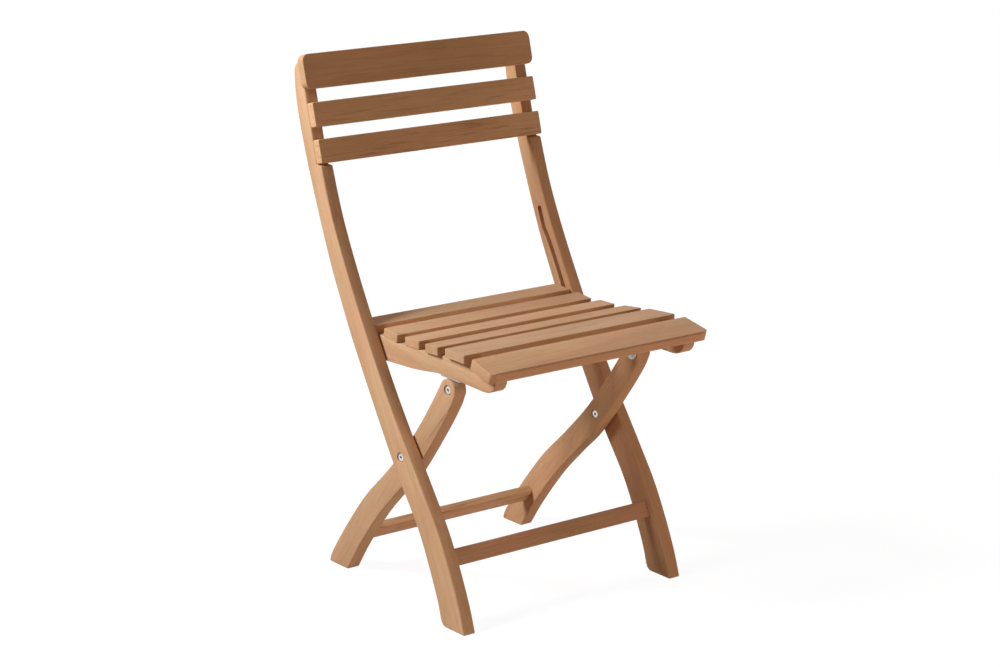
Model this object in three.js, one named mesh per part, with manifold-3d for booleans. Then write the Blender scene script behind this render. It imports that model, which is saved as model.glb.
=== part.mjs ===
// Folding teak side chair. Two curved uprights carry three back slats and a front stretcher, a pair of
// S-shaped legs crosses them on pivot bolts, and a slatted seat hangs on the leg tops. Pins at the rear of
// the seat rails run in blind grooves in the uprights, so the chair folds flat.
// Millimetres, +Z up, the chair faces -Y. The side drawing is written as [y, z] pairs.
import * as THREE from 'three';
import { mergeVertices } from 'three/addons/utils/BufferGeometryUtils.js';
import Module from 'manifold-3d';

const wasm = await Module();
wasm.setup();

// Driving dimensions across the chair, from its middle plane. The legs' planes are those at the cross pivot,
// and their splay is how far outward they lean for each unit of height. The rails' planes are those at the
// seat pivot, and their splay is how far they spread for each unit of length toward the front.
const UPRIGHT_OUTER = 236;
const UPRIGHT_THICK = 24;
const LEG_OUTER = 208.5;
const LEG_THICK = 25;
const LEG_SPLAY = 0.018;
const RAIL_OUTER = 211.3;
const RAIL_THICK = 25;
const RAIL_SPLAY = 0.0169;
const BACK_SLAT_THICK = 15;
const FIT_GAP = 0.3;
const BOARD_CORNER = 1.5;

// The side drawing's zero line lies this far in front of the middle of the chair's box
const DRAWING_TO_MIDDLE = 23.1;

// Pivots of the side drawing
const CROSS_PIVOT = [-21.5, 250.2];
const SEAT_PIVOT = [-103.5, 379.5];
const SLIDE_PIN = [82.3, 402];

// The fold: the legs turn on the cross pivot, and the seat turns on the leg tops by a constant ratio
const FOLD_ANGLE = THREE.MathUtils.degToRad(58);
const SEAT_RATIO = 1.77;

// Edges of one upright, from the foot up in front and from the top down behind
const UPRIGHT_FRONT = [
  [-195.5, 0], [-178.8, 44], [-150.8, 101], [-121.2, 152], [-81.5, 207],
  [15.2, 338], [103.8, 478], [167.8, 595], [204.3, 684],
];
const UPRIGHT_REAR = [
  [282.5, 825], [273, 772], [238.8, 675], [180.7, 542], [139.8, 464],
  [98.4, 393], [-2.1, 237], [-73.1, 141], [-120.3, 51], [-135.3, 12],
];
const UPRIGHT_HEEL = [-149, 0];
const UPRIGHT_HEEL_PULL = [-139.5, 0];
const UPRIGHT_TOP = 844;
const UPRIGHT_TOP_FLAT = 5;
const UPRIGHT_TOP_PULL = [283.5, 842];

// Edges of one leg, from the rounded top down behind and from the foot up in front
const LEG_TOP_RADIUS = 18.5;
const LEG_HEEL = [196, 0];
const LEG_HEEL_PULL = [200, 0];
const LEG_REAR = [
  [-67.5, 355], [-34, 303], [5.8, 250], [53.7, 197], [104.1, 145], [150.9, 84], [191.1, 24], [199.7, 4],
];
const LEG_FRONT = [
  [150.8, 0], [119.9, 50], [71.4, 116.5], [24.3, 168.5], [-23.3, 219], [-81.5, 303], [-110.3, 350],
];

// Lower edge of one seat rail, from the rear forward, level where the bracket sits
const RAIL_SEAT_LEVEL = 401.5;
const RAIL_REAR_END = 117;
const RAIL_UNDERSIDE = [[90, 387.4], [57, 388.5], [-15.2, 392.9], [-52, 397.6], [-78.4, RAIL_SEAT_LEVEL]];
const RAIL_LEVEL_FRONT = [-135.5, RAIL_SEAT_LEVEL];
const RAIL_NOSE_BOTTOM = [-194.5, 400.1];
const RAIL_NOSE_PULL = [-164.4, 400.1];
const RAIL_NOSE_FRONT = -222.4;
const RAIL_NOSE_PULLS = [[-221.6, 409.6], [-214, 400.1]];
const RAIL_TAIL = [RAIL_REAR_END, 406];
const RAIL_TAIL_PULL = [115, 388];

// Seat slats from the rear forward: middle of the top face, tilt in degrees, width, half length, how much
// longer that half is along the front edge than along the rear one, and thickness
const SEAT_SLATS = [
  { y: 101.3, z: 443, tilt: 4.8, width: 35.5, half: 209.8, flare: 0, thick: 14 },
  { y: 45, z: 440.3, tilt: 5.4, width: 35.5, half: 209.8, flare: 0, thick: 14 },
  { y: -11.1, z: 441.4, tilt: -2, width: 36.5, half: 211, flare: 0, thick: 14 },
  { y: -67.5, z: 445.2, tilt: -5.3, width: 36.5, half: 217.3, flare: 4.2, thick: 14 },
  { y: -132, z: 451.3, tilt: -2.7, width: 55, half: 223, flare: 6.2, thick: 14 },
  { y: -209, z: 446.4, tilt: 12.8, width: 57.5, half: 229.7, flare: 3.6, thick: 18.4 },
];

// The front slat's front corners sweep back over this length, by this much, and its front edges are rounded
const SEAT_NOSE_SWEEP = [28, 9.5];
const SEAT_NOSE_TOP_ROUND = 2.5;
const SEAT_NOSE_LOW_ROUND = 8;
const SEAT_NOSE_LEAD = 0.5;

// Back slats: the front face leans back from this lower corner, and each slat starts at its own height on it
const BACK_CORNER = [201.6, 689.4];
const BACK_LEAN = 17.35;
const BACK_SLATS = [
  { name: 'lower_back_slat', start: 0, width: 39.5, half: 236, corner: BOARD_CORNER, screws: [0.5] },
  { name: 'middle_back_slat', start: 59.5, width: 40.5, half: 236, corner: BOARD_CORNER, screws: [0.5] },
  { name: 'top_back_slat', start: 122, width: 57, half: 241.8, corner: 12, screws: [0.25, 0.62] },
];

// Stretchers: middle of the section in the side drawing, lean of its long side, and the tenons
const STRETCHER = { thick: 15, deep: 28, tenonThick: 8, tenonDeep: 21, tenonLong: 14 };
const FRONT_STRETCHER = { at: [-127.3, 105.2], lean: 25 };
const REAR_STRETCHER = { at: [138.5, 64.3], lean: -38 };

// The blind groove for the slide pins
const GROOVE_WIDTH = 9.4;
const GROOVE_DEPTH = 11;
const GROOVE_TOP = [173.2, 565.5];
const GROOVE_EASE = 1.4;
const PIN_RADIUS = 3.2;
const PIN_TIP_CLEARANCE = 1;
const PIN_IN_RAIL = 18;

// Pivot bolts with barrel nuts, in counterbores
const HEAD_RADIUS = 6.5;
const HEAD_THICK = 3.4;
const SOCKET_RADIUS = 2.3;
const SOCKET_DEPTH = 2.4;
const COUNTERBORE_RADIUS = 8;
const COUNTERBORE_DEPTH = 5;
const SLEEVE_RADIUS = 4;
const SHANK_RADIUS = 3;
const SLEEVE_SHORT = 0.5;
const CROSS_BOLT_SHORT = 4;
const SEAT_BOLT_SHORT = 2;
const WASHER_RADIUS = 11;

// Seat brackets, bent from strip, with a rounded tab on the inner face of the leg
const BRACKET_THICK = 2.2;
const BRACKET_FRONT = 28;
const BRACKET_REAR = 18;
const BRACKET_ACROSS = 27;
const TAB_RADIUS = 12;
const TAB_GAP = 0.6;
const BRACKET_SCREWS = [-21, 12];

// Wood screws
const SCREW_HEAD_RADIUS = 3.8;
const SCREW_HEAD_THICK = 2.6;
const SCREW_RADIUS = 2;
const SCREW_BITE = 10;
const SCREW_SEAT = 13;
const SCREW_WELL = 30;
const SCREW_WELL_RADIUS = 4.4;
const BRACKET_SCREW_LENGTH = 14;
const RIM = 0.2;

const CURVE_STEPS = 5;
const ROUND_STEPS = 20;
const FINE_STEPS = 28;
const SCREW_STEPS = 12;
const SOCKET_SIDES = 6;
const GROOVE_STEPS = 4;
const GROOVE_SAMPLES = 28;
const SIDES = [{ name: 'left', sign: -1 }, { name: 'right', sign: 1 }];

// Finishes
const TEAK = { color: 0xc2946a, roughness: 0.62, metalness: 0 };
const ZINC = { color: 0xb4b4ae, roughness: 0.38, metalness: 0.9 };

// A solid from a closed geometry, with its shared vertices merged
function solid(geometry) {
  const bare = geometry.clone();
  bare.deleteAttribute('normal');
  bare.deleteAttribute('uv');
  const merged = mergeVertices(bare, 1e-4);
  const vertProperties = new Float32Array(merged.attributes.position.array);
  const triVerts = new Uint32Array(merged.index.array);
  return new wasm.Manifold(new wasm.Mesh({ numProp: 3, vertProperties, triVerts }));
}

// The geometry of a solid
function surface(body) {
  const mesh = body.getMesh();
  const geometry = new THREE.BufferGeometry();
  geometry.setAttribute('position', new THREE.BufferAttribute(mesh.vertProperties, 3));
  geometry.setIndex(new THREE.BufferAttribute(mesh.triVerts, 1));
  geometry.computeVertexNormals();
  return geometry;
}

// A named mesh of one solid
function piece(name, body, finish) {
  const mesh = new THREE.Mesh(surface(body), new THREE.MeshStandardMaterial(finish));
  mesh.name = name;
  return mesh;
}

const vectors = (pairs) => pairs.map(([y, z]) => new THREE.Vector2(y, z));
const degrees = THREE.MathUtils.degToRad;

// Turns a drawing in [y, z] and its thickness into a plate between two planes across the chair
const ACROSS = new THREE.Matrix4().makeBasis(
  new THREE.Vector3(0, 1, 0),
  new THREE.Vector3(0, 0, 1),
  new THREE.Vector3(1, 0, 0),
);

function plateGeometry(shape, xFrom, xTo) {
  const low = Math.min(xFrom, xTo);
  const geometry = new THREE.ExtrudeGeometry(shape, {
    depth: Math.abs(xTo - xFrom),
    bevelEnabled: false,
    curveSegments: CURVE_STEPS,
  });
  geometry.applyMatrix4(ACROSS);
  geometry.translate(low, 0, 0);
  return geometry;
}

function plate(shape, xFrom, xTo) {
  return solid(plateGeometry(shape, xFrom, xTo));
}

// How far outward the splay brings a leg at a height, counted from the cross pivot
function splayAt(z) {
  return LEG_SPLAY * (z - CROSS_PIVOT[1]);
}

// The outer plane of a seat rail at a place along it
function railOuterAt(y) {
  return RAIL_OUTER + RAIL_SPLAY * (SEAT_PIVOT[0] - y);
}

// A plate whose two faces spread across the chair with y and with z, in place at a point of the drawing
function splayedPlate(shape, [xFrom, xTo], [perY, perZ], [y, z]) {
  const geometry = plateGeometry(shape, xFrom, xTo);
  geometry.applyMatrix4(new THREE.Matrix4().makeShear(0, 0, perY, 0, perZ, 0));
  geometry.translate(-perY * y - perZ * z, 0, 0);
  return solid(geometry);
}

// A round bar across the chair at a point of the side drawing
function bar([y, z], radius, xFrom, xTo, sides = ROUND_STEPS) {
  const geometry = new THREE.CylinderGeometry(radius, radius, Math.abs(xTo - xFrom), sides);
  geometry.rotateZ(Math.PI / 2);
  geometry.translate((xFrom + xTo) / 2, y, z);
  return solid(geometry);
}

// A block with its middle in the side drawing, leaning back from the vertical
function block([y, z], lean, thick, deep, xFrom, xTo) {
  const geometry = new THREE.BoxGeometry(Math.abs(xTo - xFrom), thick, deep);
  geometry.rotateX(-degrees(lean));
  geometry.translate((xFrom + xTo) / 2, y, z);
  return solid(geometry);
}

// A board outline with a half length on its low and on its high side, round high corners, and low ones
// that may be swept
function boardShape([lowHalf, highHalf], [low, high], corner, [along, back] = [corner, corner]) {
  const shape = new THREE.Shape();
  shape.moveTo(-lowHalf + along, low);
  shape.lineTo(lowHalf - along, low);
  shape.absellipse(lowHalf - along, low + back, along, back, -Math.PI / 2, 0);
  shape.absarc(highHalf - corner, high - corner, corner, 0, Math.PI / 2);
  shape.absarc(-highHalf + corner, high - corner, corner, Math.PI / 2, Math.PI);
  shape.absellipse(-lowHalf + along, low + back, along, back, Math.PI, 1.5 * Math.PI);
  return shape;
}

// A board whose outer face has its middle at [y, z], tilted about X, and its thickness below that face
function board(shape, [y, z], tilt, thick) {
  const geometry = new THREE.ExtrudeGeometry(shape, {
    depth: thick,
    bevelEnabled: false,
    curveSegments: CURVE_STEPS,
  });
  geometry.translate(0, 0, -thick);
  geometry.rotateX(tilt);
  geometry.translate(0, y, z);
  return solid(geometry);
}

// A turned piece on an axis through [x, y, z]: its profile starts and ends on the axis
function turned(profile, [x, y, z], direction) {
  const geometry = new THREE.LatheGeometry(vectors(profile), SCREW_STEPS);
  const up = new THREE.Vector3(0, 1, 0);
  const turn = new THREE.Quaternion().setFromUnitVectors(up, new THREE.Vector3(...direction).normalize());
  geometry.applyQuaternion(turn);
  geometry.translate(x, y, z);
  return solid(geometry);
}

// The place of the slide pin in the side drawing when the legs have turned by an angle
function pinAt(angle) {
  const origin = new THREE.Vector2(0, 0);
  const [cross, seat, pin] = vectors([CROSS_PIVOT, SEAT_PIVOT, SLIDE_PIN]);
  const legTop = seat.clone().sub(cross).rotateAround(origin, -angle).add(cross);
  const reach = pin.clone().sub(seat).rotateAround(origin, (SEAT_RATIO - 1) * angle);
  return reach.add(legTop);
}

// The groove follows the pin through the fold, eased forward as it rises, and runs on to its upper end
function grooveShape() {
  const path = [];
  for (let i = 0; i <= GROOVE_STEPS; i += 1) {
    const part = i / GROOVE_STEPS;
    const ease = new THREE.Vector2(-GROOVE_EASE * part * part, 0);
    path.push(pinAt(FOLD_ANGLE * part).add(ease));
  }
  path.push(new THREE.Vector2(...GROOVE_TOP));
  const line = new THREE.SplineCurve(path);
  const radius = GROOVE_WIDTH / 2;
  const ahead = [];
  const behind = [];
  for (let i = 0; i <= GROOVE_SAMPLES; i += 1) {
    const at = line.getPointAt(i / GROOVE_SAMPLES);
    const along = line.getTangentAt(i / GROOVE_SAMPLES);
    const aside = new THREE.Vector2(-along.y, along.x).multiplyScalar(radius);
    ahead.push(at.clone().add(aside));
    behind.unshift(at.clone().sub(aside));
  }
  const startTurn = line.getTangentAt(0).angle();
  const endTurn = line.getTangentAt(1).angle();
  const start = line.getPointAt(0);
  const end = line.getPointAt(1);
  const quarter = Math.PI / 2;
  const shape = new THREE.Shape();
  shape.setFromPoints(behind.slice().reverse());
  shape.absarc(end.x, end.y, radius, endTurn - quarter, endTurn + quarter);
  ahead.slice().reverse().forEach((point) => shape.lineTo(point.x, point.y));
  shape.absarc(start.x, start.y, radius, startTurn + quarter, startTurn + 3 * quarter);
  return shape;
}

const lean = degrees(BACK_LEAN);
const BACK_UP = [Math.sin(lean), Math.cos(lean)];
const BACK_FRONT = [-Math.cos(lean), Math.sin(lean)];

// A point of the slatted back: height along it from the lower corner, and depth behind its front face
function onBack(along, behind) {
  return [
    BACK_CORNER[0] + BACK_UP[0] * along - BACK_FRONT[0] * behind,
    BACK_CORNER[1] + BACK_UP[1] * along - BACK_FRONT[1] * behind,
  ];
}

function uprightShape() {
  const ledge = onBack(-FIT_GAP, BACK_SLAT_THICK + FIT_GAP);
  const rise = (UPRIGHT_TOP - ledge[1]) / BACK_UP[1];
  const crown = [ledge[0] + BACK_UP[0] * rise, UPRIGHT_TOP];
  const shape = new THREE.Shape();
  shape.moveTo(...UPRIGHT_FRONT[0]);
  shape.splineThru(vectors(UPRIGHT_FRONT.slice(1)));
  shape.lineTo(...ledge);
  shape.lineTo(...crown);
  shape.lineTo(crown[0] + UPRIGHT_TOP_FLAT, UPRIGHT_TOP);
  shape.quadraticCurveTo(...UPRIGHT_TOP_PULL, ...UPRIGHT_REAR[0]);
  shape.splineThru(vectors(UPRIGHT_REAR.slice(1)));
  shape.quadraticCurveTo(...UPRIGHT_HEEL_PULL, ...UPRIGHT_HEEL);
  return shape;
}

// Screw places of the back slats: height along the back
function backScrewHeights() {
  return BACK_SLATS.flatMap((slat) => slat.screws.map((part) => slat.start + slat.width * part));
}

const BACK_SCREW_X = UPRIGHT_OUTER - UPRIGHT_THICK / 2;

// A screw shape from its head plane, pointing along a direction: head behind, shank ahead
function screw(at, direction, shankLength, radiusGap = 0) {
  const headRadius = SCREW_HEAD_RADIUS + radiusGap;
  const shankRadius = SCREW_RADIUS + radiusGap;
  const profile = [
    [0, -SCREW_HEAD_THICK],
    [headRadius, -SCREW_HEAD_THICK],
    [headRadius, 0],
    [shankRadius, 0],
    [shankRadius, shankLength],
    [0, shankLength],
  ];
  return turned(profile, at, direction);
}

// The room that a screw needs: a clearance bore and a well that stays open behind the head
function screwRoom(at, direction, shankLength, wellLength) {
  const profile = [
    [0, -wellLength],
    [SCREW_WELL_RADIUS, -wellLength],
    [SCREW_WELL_RADIUS, FIT_GAP],
    [SCREW_RADIUS + FIT_GAP, FIT_GAP],
    [SCREW_RADIUS + FIT_GAP, shankLength + FIT_GAP],
    [0, shankLength + FIT_GAP],
  ];
  return turned(profile, at, direction);
}

// Back screws go in from behind, with their heads this far behind the slats' rear faces
const BACK_SCREW_SEAT = 9;

function backScrewPlace(sign, along) {
  const [y, z] = onBack(along, BACK_SLAT_THICK + BACK_SCREW_SEAT);
  return [sign * BACK_SCREW_X, y, z];
}

const BACK_SCREW_DIRECTION = [0, ...BACK_FRONT];
const BACK_SCREW_SHANK = BACK_SCREW_SEAT + SCREW_BITE;

function upright({ name, sign }) {
  const inner = sign * (UPRIGHT_OUTER - UPRIGHT_THICK);
  const outer = sign * UPRIGHT_OUTER;
  let body = plate(uprightShape(), inner, outer);
  body = body.subtract(plate(grooveShape(), inner - sign, inner + sign * GROOVE_DEPTH));
  body = body.subtract(bar(CROSS_PIVOT, SLEEVE_RADIUS + FIT_GAP, inner - sign, outer + sign));
  const floor = outer - sign * COUNTERBORE_DEPTH;
  body = body.subtract(bar(CROSS_PIVOT, COUNTERBORE_RADIUS, floor, outer + sign, FINE_STEPS));
  body = body.subtract(tenon(FRONT_STRETCHER, inner - sign, inner + sign * STRETCHER.tenonLong, FIT_GAP));
  backScrewHeights().forEach((along) => {
    const at = backScrewPlace(sign, along);
    body = body.subtract(screwRoom(at, BACK_SCREW_DIRECTION, BACK_SCREW_SHANK, SCREW_WELL));
  });
  return piece(`${name}_upright`, body, TEAK);
}

// A tenon between two planes across the chair, or the mortise for it with room all round
function tenon(stretcher, xFrom, xTo, room = 0) {
  const thick = STRETCHER.tenonThick + 2 * room;
  const deep = STRETCHER.tenonDeep + 2 * room;
  return block(stretcher.at, stretcher.lean, thick, deep, xFrom, xTo);
}

// A stretcher between two shoulders, with a tenon at each end
function stretcher(name, place, shoulder) {
  const half = shoulder - FIT_GAP;
  const reach = shoulder + STRETCHER.tenonLong - 2 * FIT_GAP;
  const rail = block(place.at, place.lean, STRETCHER.thick, STRETCHER.deep, -half, half);
  return piece(name, rail.add(tenon(place, -reach, reach)), TEAK);
}

function backSlat(slat) {
  const shape = boardShape([slat.half, slat.half], [-slat.width / 2, slat.width / 2], slat.corner);
  const at = onBack(slat.start + slat.width / 2, 0);
  let body = board(shape, at, Math.PI / 2 - lean, BACK_SLAT_THICK);
  SIDES.forEach(({ sign }) => {
    backScrewHeights().forEach((along) => {
      const place = backScrewPlace(sign, along);
      body = body.subtract(screwRoom(place, BACK_SCREW_DIRECTION, BACK_SCREW_SHANK, 1));
    });
  });
  return piece(slat.name, body, TEAK);
}

function backScrews({ name, sign }) {
  return backScrewHeights().map((along, index) => {
    const body = screw(backScrewPlace(sign, along), BACK_SCREW_DIRECTION, BACK_SCREW_SHANK - FIT_GAP);
    return piece(`${name}_back_screw_${index + 1}`, body, ZINC);
  });
}

function legShape() {
  const [cross, seat] = vectors([CROSS_PIVOT, SEAT_PIVOT]);
  const down = cross.sub(seat).angle();
  const shape = new THREE.Shape();
  shape.moveTo(...LEG_FRONT[0]);
  shape.lineTo(...LEG_HEEL);
  shape.quadraticCurveTo(...LEG_HEEL_PULL, ...LEG_REAR.at(-1));
  const behind = LEG_REAR.slice(0, -1).reverse();
  const rearTangent = [
    SEAT_PIVOT[0] + LEG_TOP_RADIUS * Math.cos(down + Math.PI / 2),
    SEAT_PIVOT[1] + LEG_TOP_RADIUS * Math.sin(down + Math.PI / 2),
  ];
  shape.splineThru(vectors([...behind, rearTangent]));
  shape.absarc(...SEAT_PIVOT, LEG_TOP_RADIUS, down + Math.PI / 2, down + 1.5 * Math.PI);
  shape.splineThru(vectors(LEG_FRONT.slice().reverse()));
  return shape;
}

// The rear stretcher's shoulders meet the legs where their lean brings the inner faces nearest
function rearShoulder() {
  const lowest = REAR_STRETCHER.at[1] - STRETCHER.deep / 2;
  return LEG_OUTER - LEG_THICK + splayAt(lowest);
}

function leg({ name, sign }) {
  const inner = sign * (LEG_OUTER - LEG_THICK);
  const outer = sign * LEG_OUTER;
  const depth = sign * COUNTERBORE_DEPTH;
  const seatInner = inner + sign * splayAt(SEAT_PIVOT[1]);
  const seatOuter = outer + sign * splayAt(SEAT_PIVOT[1]);
  const shoulder = sign * rearShoulder();
  const mortiseEnd = shoulder + sign * STRETCHER.tenonLong;
  let body = splayedPlate(legShape(), [inner, outer], [0, sign * LEG_SPLAY], CROSS_PIVOT);
  body = body.subtract(bar(CROSS_PIVOT, SLEEVE_RADIUS + FIT_GAP, inner - sign, outer + sign));
  body = body.subtract(bar(CROSS_PIVOT, COUNTERBORE_RADIUS, inner - sign, inner + depth, FINE_STEPS));
  body = body.subtract(bar(SEAT_PIVOT, SLEEVE_RADIUS + FIT_GAP, seatInner - sign, seatOuter + sign));
  const seatFloor = seatOuter - depth;
  body = body.subtract(bar(SEAT_PIVOT, COUNTERBORE_RADIUS, seatFloor, seatOuter + sign, FINE_STEPS));
  body = body.subtract(tenon(REAR_STRETCHER, shoulder - sign, mortiseEnd, FIT_GAP));
  return piece(`${name}_leg`, body, TEAK);
}

// A bolt across the chair: the head's outer face at xHead, its socket open there, the shank inward
function bolt(name, at, sign, xHead, xTip) {
  const shoulder = xHead - sign * HEAD_THICK;
  const head = bar(at, HEAD_RADIUS, shoulder, xHead, FINE_STEPS);
  const shank = bar(at, SHANK_RADIUS, xTip, shoulder + sign);
  const socket = bar(at, SOCKET_RADIUS, xHead - sign * SOCKET_DEPTH, xHead + sign, SOCKET_SIDES);
  return piece(name, head.add(shank).subtract(socket), ZINC);
}

// A barrel nut across the chair: the head's face at xHead, the bored sleeve running out to xEnd
function barrelNut(name, at, sign, xHead, xEnd) {
  const shoulder = xHead + sign * HEAD_THICK;
  const head = bar(at, HEAD_RADIUS, xHead, shoulder, FINE_STEPS);
  const sleeve = bar(at, SLEEVE_RADIUS, shoulder - sign, xEnd);
  const bore = bar(at, SHANK_RADIUS + FIT_GAP, shoulder + sign, xEnd + sign);
  const socket = bar(at, SOCKET_RADIUS, xHead - sign, xHead + sign * SOCKET_DEPTH, SOCKET_SIDES);
  return piece(name, head.add(sleeve).subtract(bore).subtract(socket), ZINC);
}

// The cross pivot: bolt in the upright, barrel nut in the leg and a washer in the space between them
function crossPivot({ name, sign }) {
  const boltHead = sign * (UPRIGHT_OUTER - COUNTERBORE_DEPTH + HEAD_THICK + FIT_GAP);
  const nutHead = sign * (LEG_OUTER - LEG_THICK + COUNTERBORE_DEPTH - HEAD_THICK - FIT_GAP);
  const sleeveEnd = sign * (UPRIGHT_OUTER - COUNTERBORE_DEPTH - SLEEVE_SHORT);
  const tip = sign * (LEG_OUTER - LEG_THICK + COUNTERBORE_DEPTH + CROSS_BOLT_SHORT);
  const washerOuter = sign * (UPRIGHT_OUTER - UPRIGHT_THICK - FIT_GAP);
  const washerInner = sign * (LEG_OUTER + FIT_GAP + LEG_SPLAY * WASHER_RADIUS);
  const ring = bar(CROSS_PIVOT, WASHER_RADIUS, washerInner, washerOuter, FINE_STEPS);
  const hole = bar(CROSS_PIVOT, SLEEVE_RADIUS + FIT_GAP, washerInner - sign, washerOuter + sign);
  return [
    bolt(`${name}_pivot_bolt`, CROSS_PIVOT, sign, boltHead, tip),
    barrelNut(`${name}_pivot_nut`, CROSS_PIVOT, sign, nutHead, sleeveEnd),
    piece(`${name}_pivot_washer`, ring.subtract(hole), ZINC),
  ];
}

// The seat pivot: bolt in the outer face of the leg, barrel nut on the inner side of the bracket's tab
function seatPivot({ name, sign }) {
  const outer = LEG_OUTER + splayAt(SEAT_PIVOT[1]);
  const inner = outer - LEG_THICK;
  const boltHead = sign * (outer - COUNTERBORE_DEPTH + HEAD_THICK + FIT_GAP);
  const nutHead = sign * (inner - TAB_GAP - BRACKET_THICK - FIT_GAP - HEAD_THICK);
  const sleeveEnd = sign * (outer - COUNTERBORE_DEPTH - SLEEVE_SHORT);
  const tip = sign * (inner + SEAT_BOLT_SHORT);
  return [
    bolt(`${name}_seat_bolt`, SEAT_PIVOT, sign, boltHead, tip),
    barrelNut(`${name}_seat_nut`, SEAT_PIVOT, sign, nutHead, sleeveEnd),
  ];
}

// The two ends of a seat slat's lower face in the side drawing, with the gap below it
function slatUnderside(slat) {
  const tilt = degrees(slat.tilt);
  const drop = slat.thick + FIT_GAP;
  const middle = [slat.y + Math.sin(tilt) * drop, slat.z - Math.cos(tilt) * drop];
  const run = [(Math.cos(tilt) * slat.width) / 2, (Math.sin(tilt) * slat.width) / 2];
  return {
    front: [middle[0] - run[0], middle[1] - run[1]],
    rear: [middle[0] + run[0], middle[1] + run[1]],
    middle,
    slope: Math.tan(tilt),
  };
}

function railShape() {
  const undersides = SEAT_SLATS.map(slatUnderside);
  const nose = undersides.at(-1);
  const noseTop = nose.middle[1] + (RAIL_NOSE_FRONT - nose.middle[0]) * nose.slope;
  const tail = undersides[0];
  const tailTop = tail.middle[1] + (RAIL_REAR_END - tail.middle[0]) * tail.slope;
  const shape = new THREE.Shape();
  shape.moveTo(RAIL_REAR_END, tailTop);
  shape.lineTo(...tail.front);
  undersides.slice(1, -1).forEach((side) => {
    shape.lineTo(...side.rear);
    shape.lineTo(...side.front);
  });
  shape.lineTo(...nose.rear);
  shape.lineTo(RAIL_NOSE_FRONT, noseTop);
  shape.bezierCurveTo(...RAIL_NOSE_PULLS.flat(), ...RAIL_NOSE_BOTTOM);
  shape.quadraticCurveTo(...RAIL_NOSE_PULL, ...RAIL_LEVEL_FRONT);
  shape.lineTo(...RAIL_UNDERSIDE.at(-1));
  shape.splineThru(vectors(RAIL_UNDERSIDE.slice(0, -1).reverse()));
  shape.quadraticCurveTo(...RAIL_TAIL_PULL, ...RAIL_TAIL);
  return shape;
}

const SEAT_SCREW_SHANK = SCREW_SEAT + SCREW_BITE;

// Seat screws come up through the rail, square to each slat, with their heads deep in wells
function seatScrewPlace(slat, sign) {
  const tilt = degrees(slat.tilt);
  const drop = slat.thick + SCREW_SEAT;
  const x = sign * (railOuterAt(slat.y) - RAIL_THICK / 2);
  return {
    at: [x, slat.y + Math.sin(tilt) * drop, slat.z - Math.cos(tilt) * drop],
    direction: [0, -Math.sin(tilt), Math.cos(tilt)],
  };
}

function bracketScrewPlace(sign, along) {
  const foot = RAIL_SEAT_LEVEL - FIT_GAP - BRACKET_THICK;
  return [sign * (RAIL_OUTER - RAIL_THICK / 2), SEAT_PIVOT[0] + along, foot];
}

// A countersunk screw with its head flush in the bracket, or the room for it
function bracketScrew(at, room = 0) {
  const profile = [
    [0, -room],
    [SCREW_HEAD_RADIUS + room, -room],
    [SCREW_RADIUS + room, BRACKET_THICK - RIM],
    [SCREW_RADIUS + room, BRACKET_SCREW_LENGTH + room],
    [0, BRACKET_SCREW_LENGTH + room],
  ];
  return turned(profile, at, [0, 0, 1]);
}

function seatRail({ name, sign }) {
  const inner = sign * (RAIL_OUTER - RAIL_THICK);
  const outer = sign * RAIL_OUTER;
  let body = splayedPlate(railShape(), [inner, outer], [-sign * RAIL_SPLAY, 0], SEAT_PIVOT);
  SEAT_SLATS.forEach((slat) => {
    const { at, direction } = seatScrewPlace(slat, sign);
    body = body.subtract(screwRoom(at, direction, SEAT_SCREW_SHANK, SCREW_WELL));
  });
  BRACKET_SCREWS.forEach((along) => {
    body = body.subtract(bracketScrew(bracketScrewPlace(sign, along), FIT_GAP));
  });
  const pinFloor = sign * (railOuterAt(SLIDE_PIN[0]) - PIN_IN_RAIL);
  body = body.subtract(bar(SLIDE_PIN, PIN_RADIUS + FIT_GAP, pinFloor, outer + sign));
  return piece(`${name}_seat_rail`, body, TEAK);
}

// The room within which the front slat lies, rounded along its two long front edges
function noseRoom(slat) {
  const front = -slat.width / 2;
  const rear = slat.width / 2 + 1;
  const top = SEAT_NOSE_TOP_ROUND;
  const low = SEAT_NOSE_LOW_ROUND;
  const shape = new THREE.Shape();
  shape.moveTo(rear, 1);
  shape.lineTo(front + top, 1);
  shape.absarc(front + top, -top, top, Math.PI / 2, Math.PI);
  shape.absarc(front + low, low - slat.thick, low, Math.PI, 1.5 * Math.PI);
  shape.lineTo(front + low, -slat.thick - 1);
  shape.lineTo(rear, -slat.thick - 1);
  const reach = slat.half + slat.flare;
  const geometry = plateGeometry(shape, -reach, reach);
  geometry.rotateX(degrees(slat.tilt));
  geometry.translate(0, slat.y, slat.z);
  return solid(geometry);
}

function seatSlat(slat, index) {
  const isFront = index === SEAT_SLATS.length - 1;
  const halves = [slat.half + slat.flare / 2, slat.half - slat.flare / 2];
  const edge = slat.width / 2;
  const shape = isFront
    ? boardShape(halves, [-edge - SEAT_NOSE_LEAD, edge], BOARD_CORNER, SEAT_NOSE_SWEEP)
    : boardShape(halves, [-edge, edge], BOARD_CORNER);
  let body = board(shape, [slat.y, slat.z], degrees(slat.tilt), slat.thick);
  if (isFront) body = body.intersect(noseRoom(slat));
  SIDES.forEach(({ sign }) => {
    const { at, direction } = seatScrewPlace(slat, sign);
    body = body.subtract(screwRoom(at, direction, SEAT_SCREW_SHANK, 1));
  });
  return piece(`seat_slat_${index + 1}`, body, TEAK);
}

function seatScrews({ name, sign }) {
  return SEAT_SLATS.map((slat, index) => {
    const { at, direction } = seatScrewPlace(slat, sign);
    const body = screw(at, direction, SEAT_SCREW_SHANK - FIT_GAP);
    return piece(`${name}_seat_screw_${index + 1}`, body, ZINC);
  });
}

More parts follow.
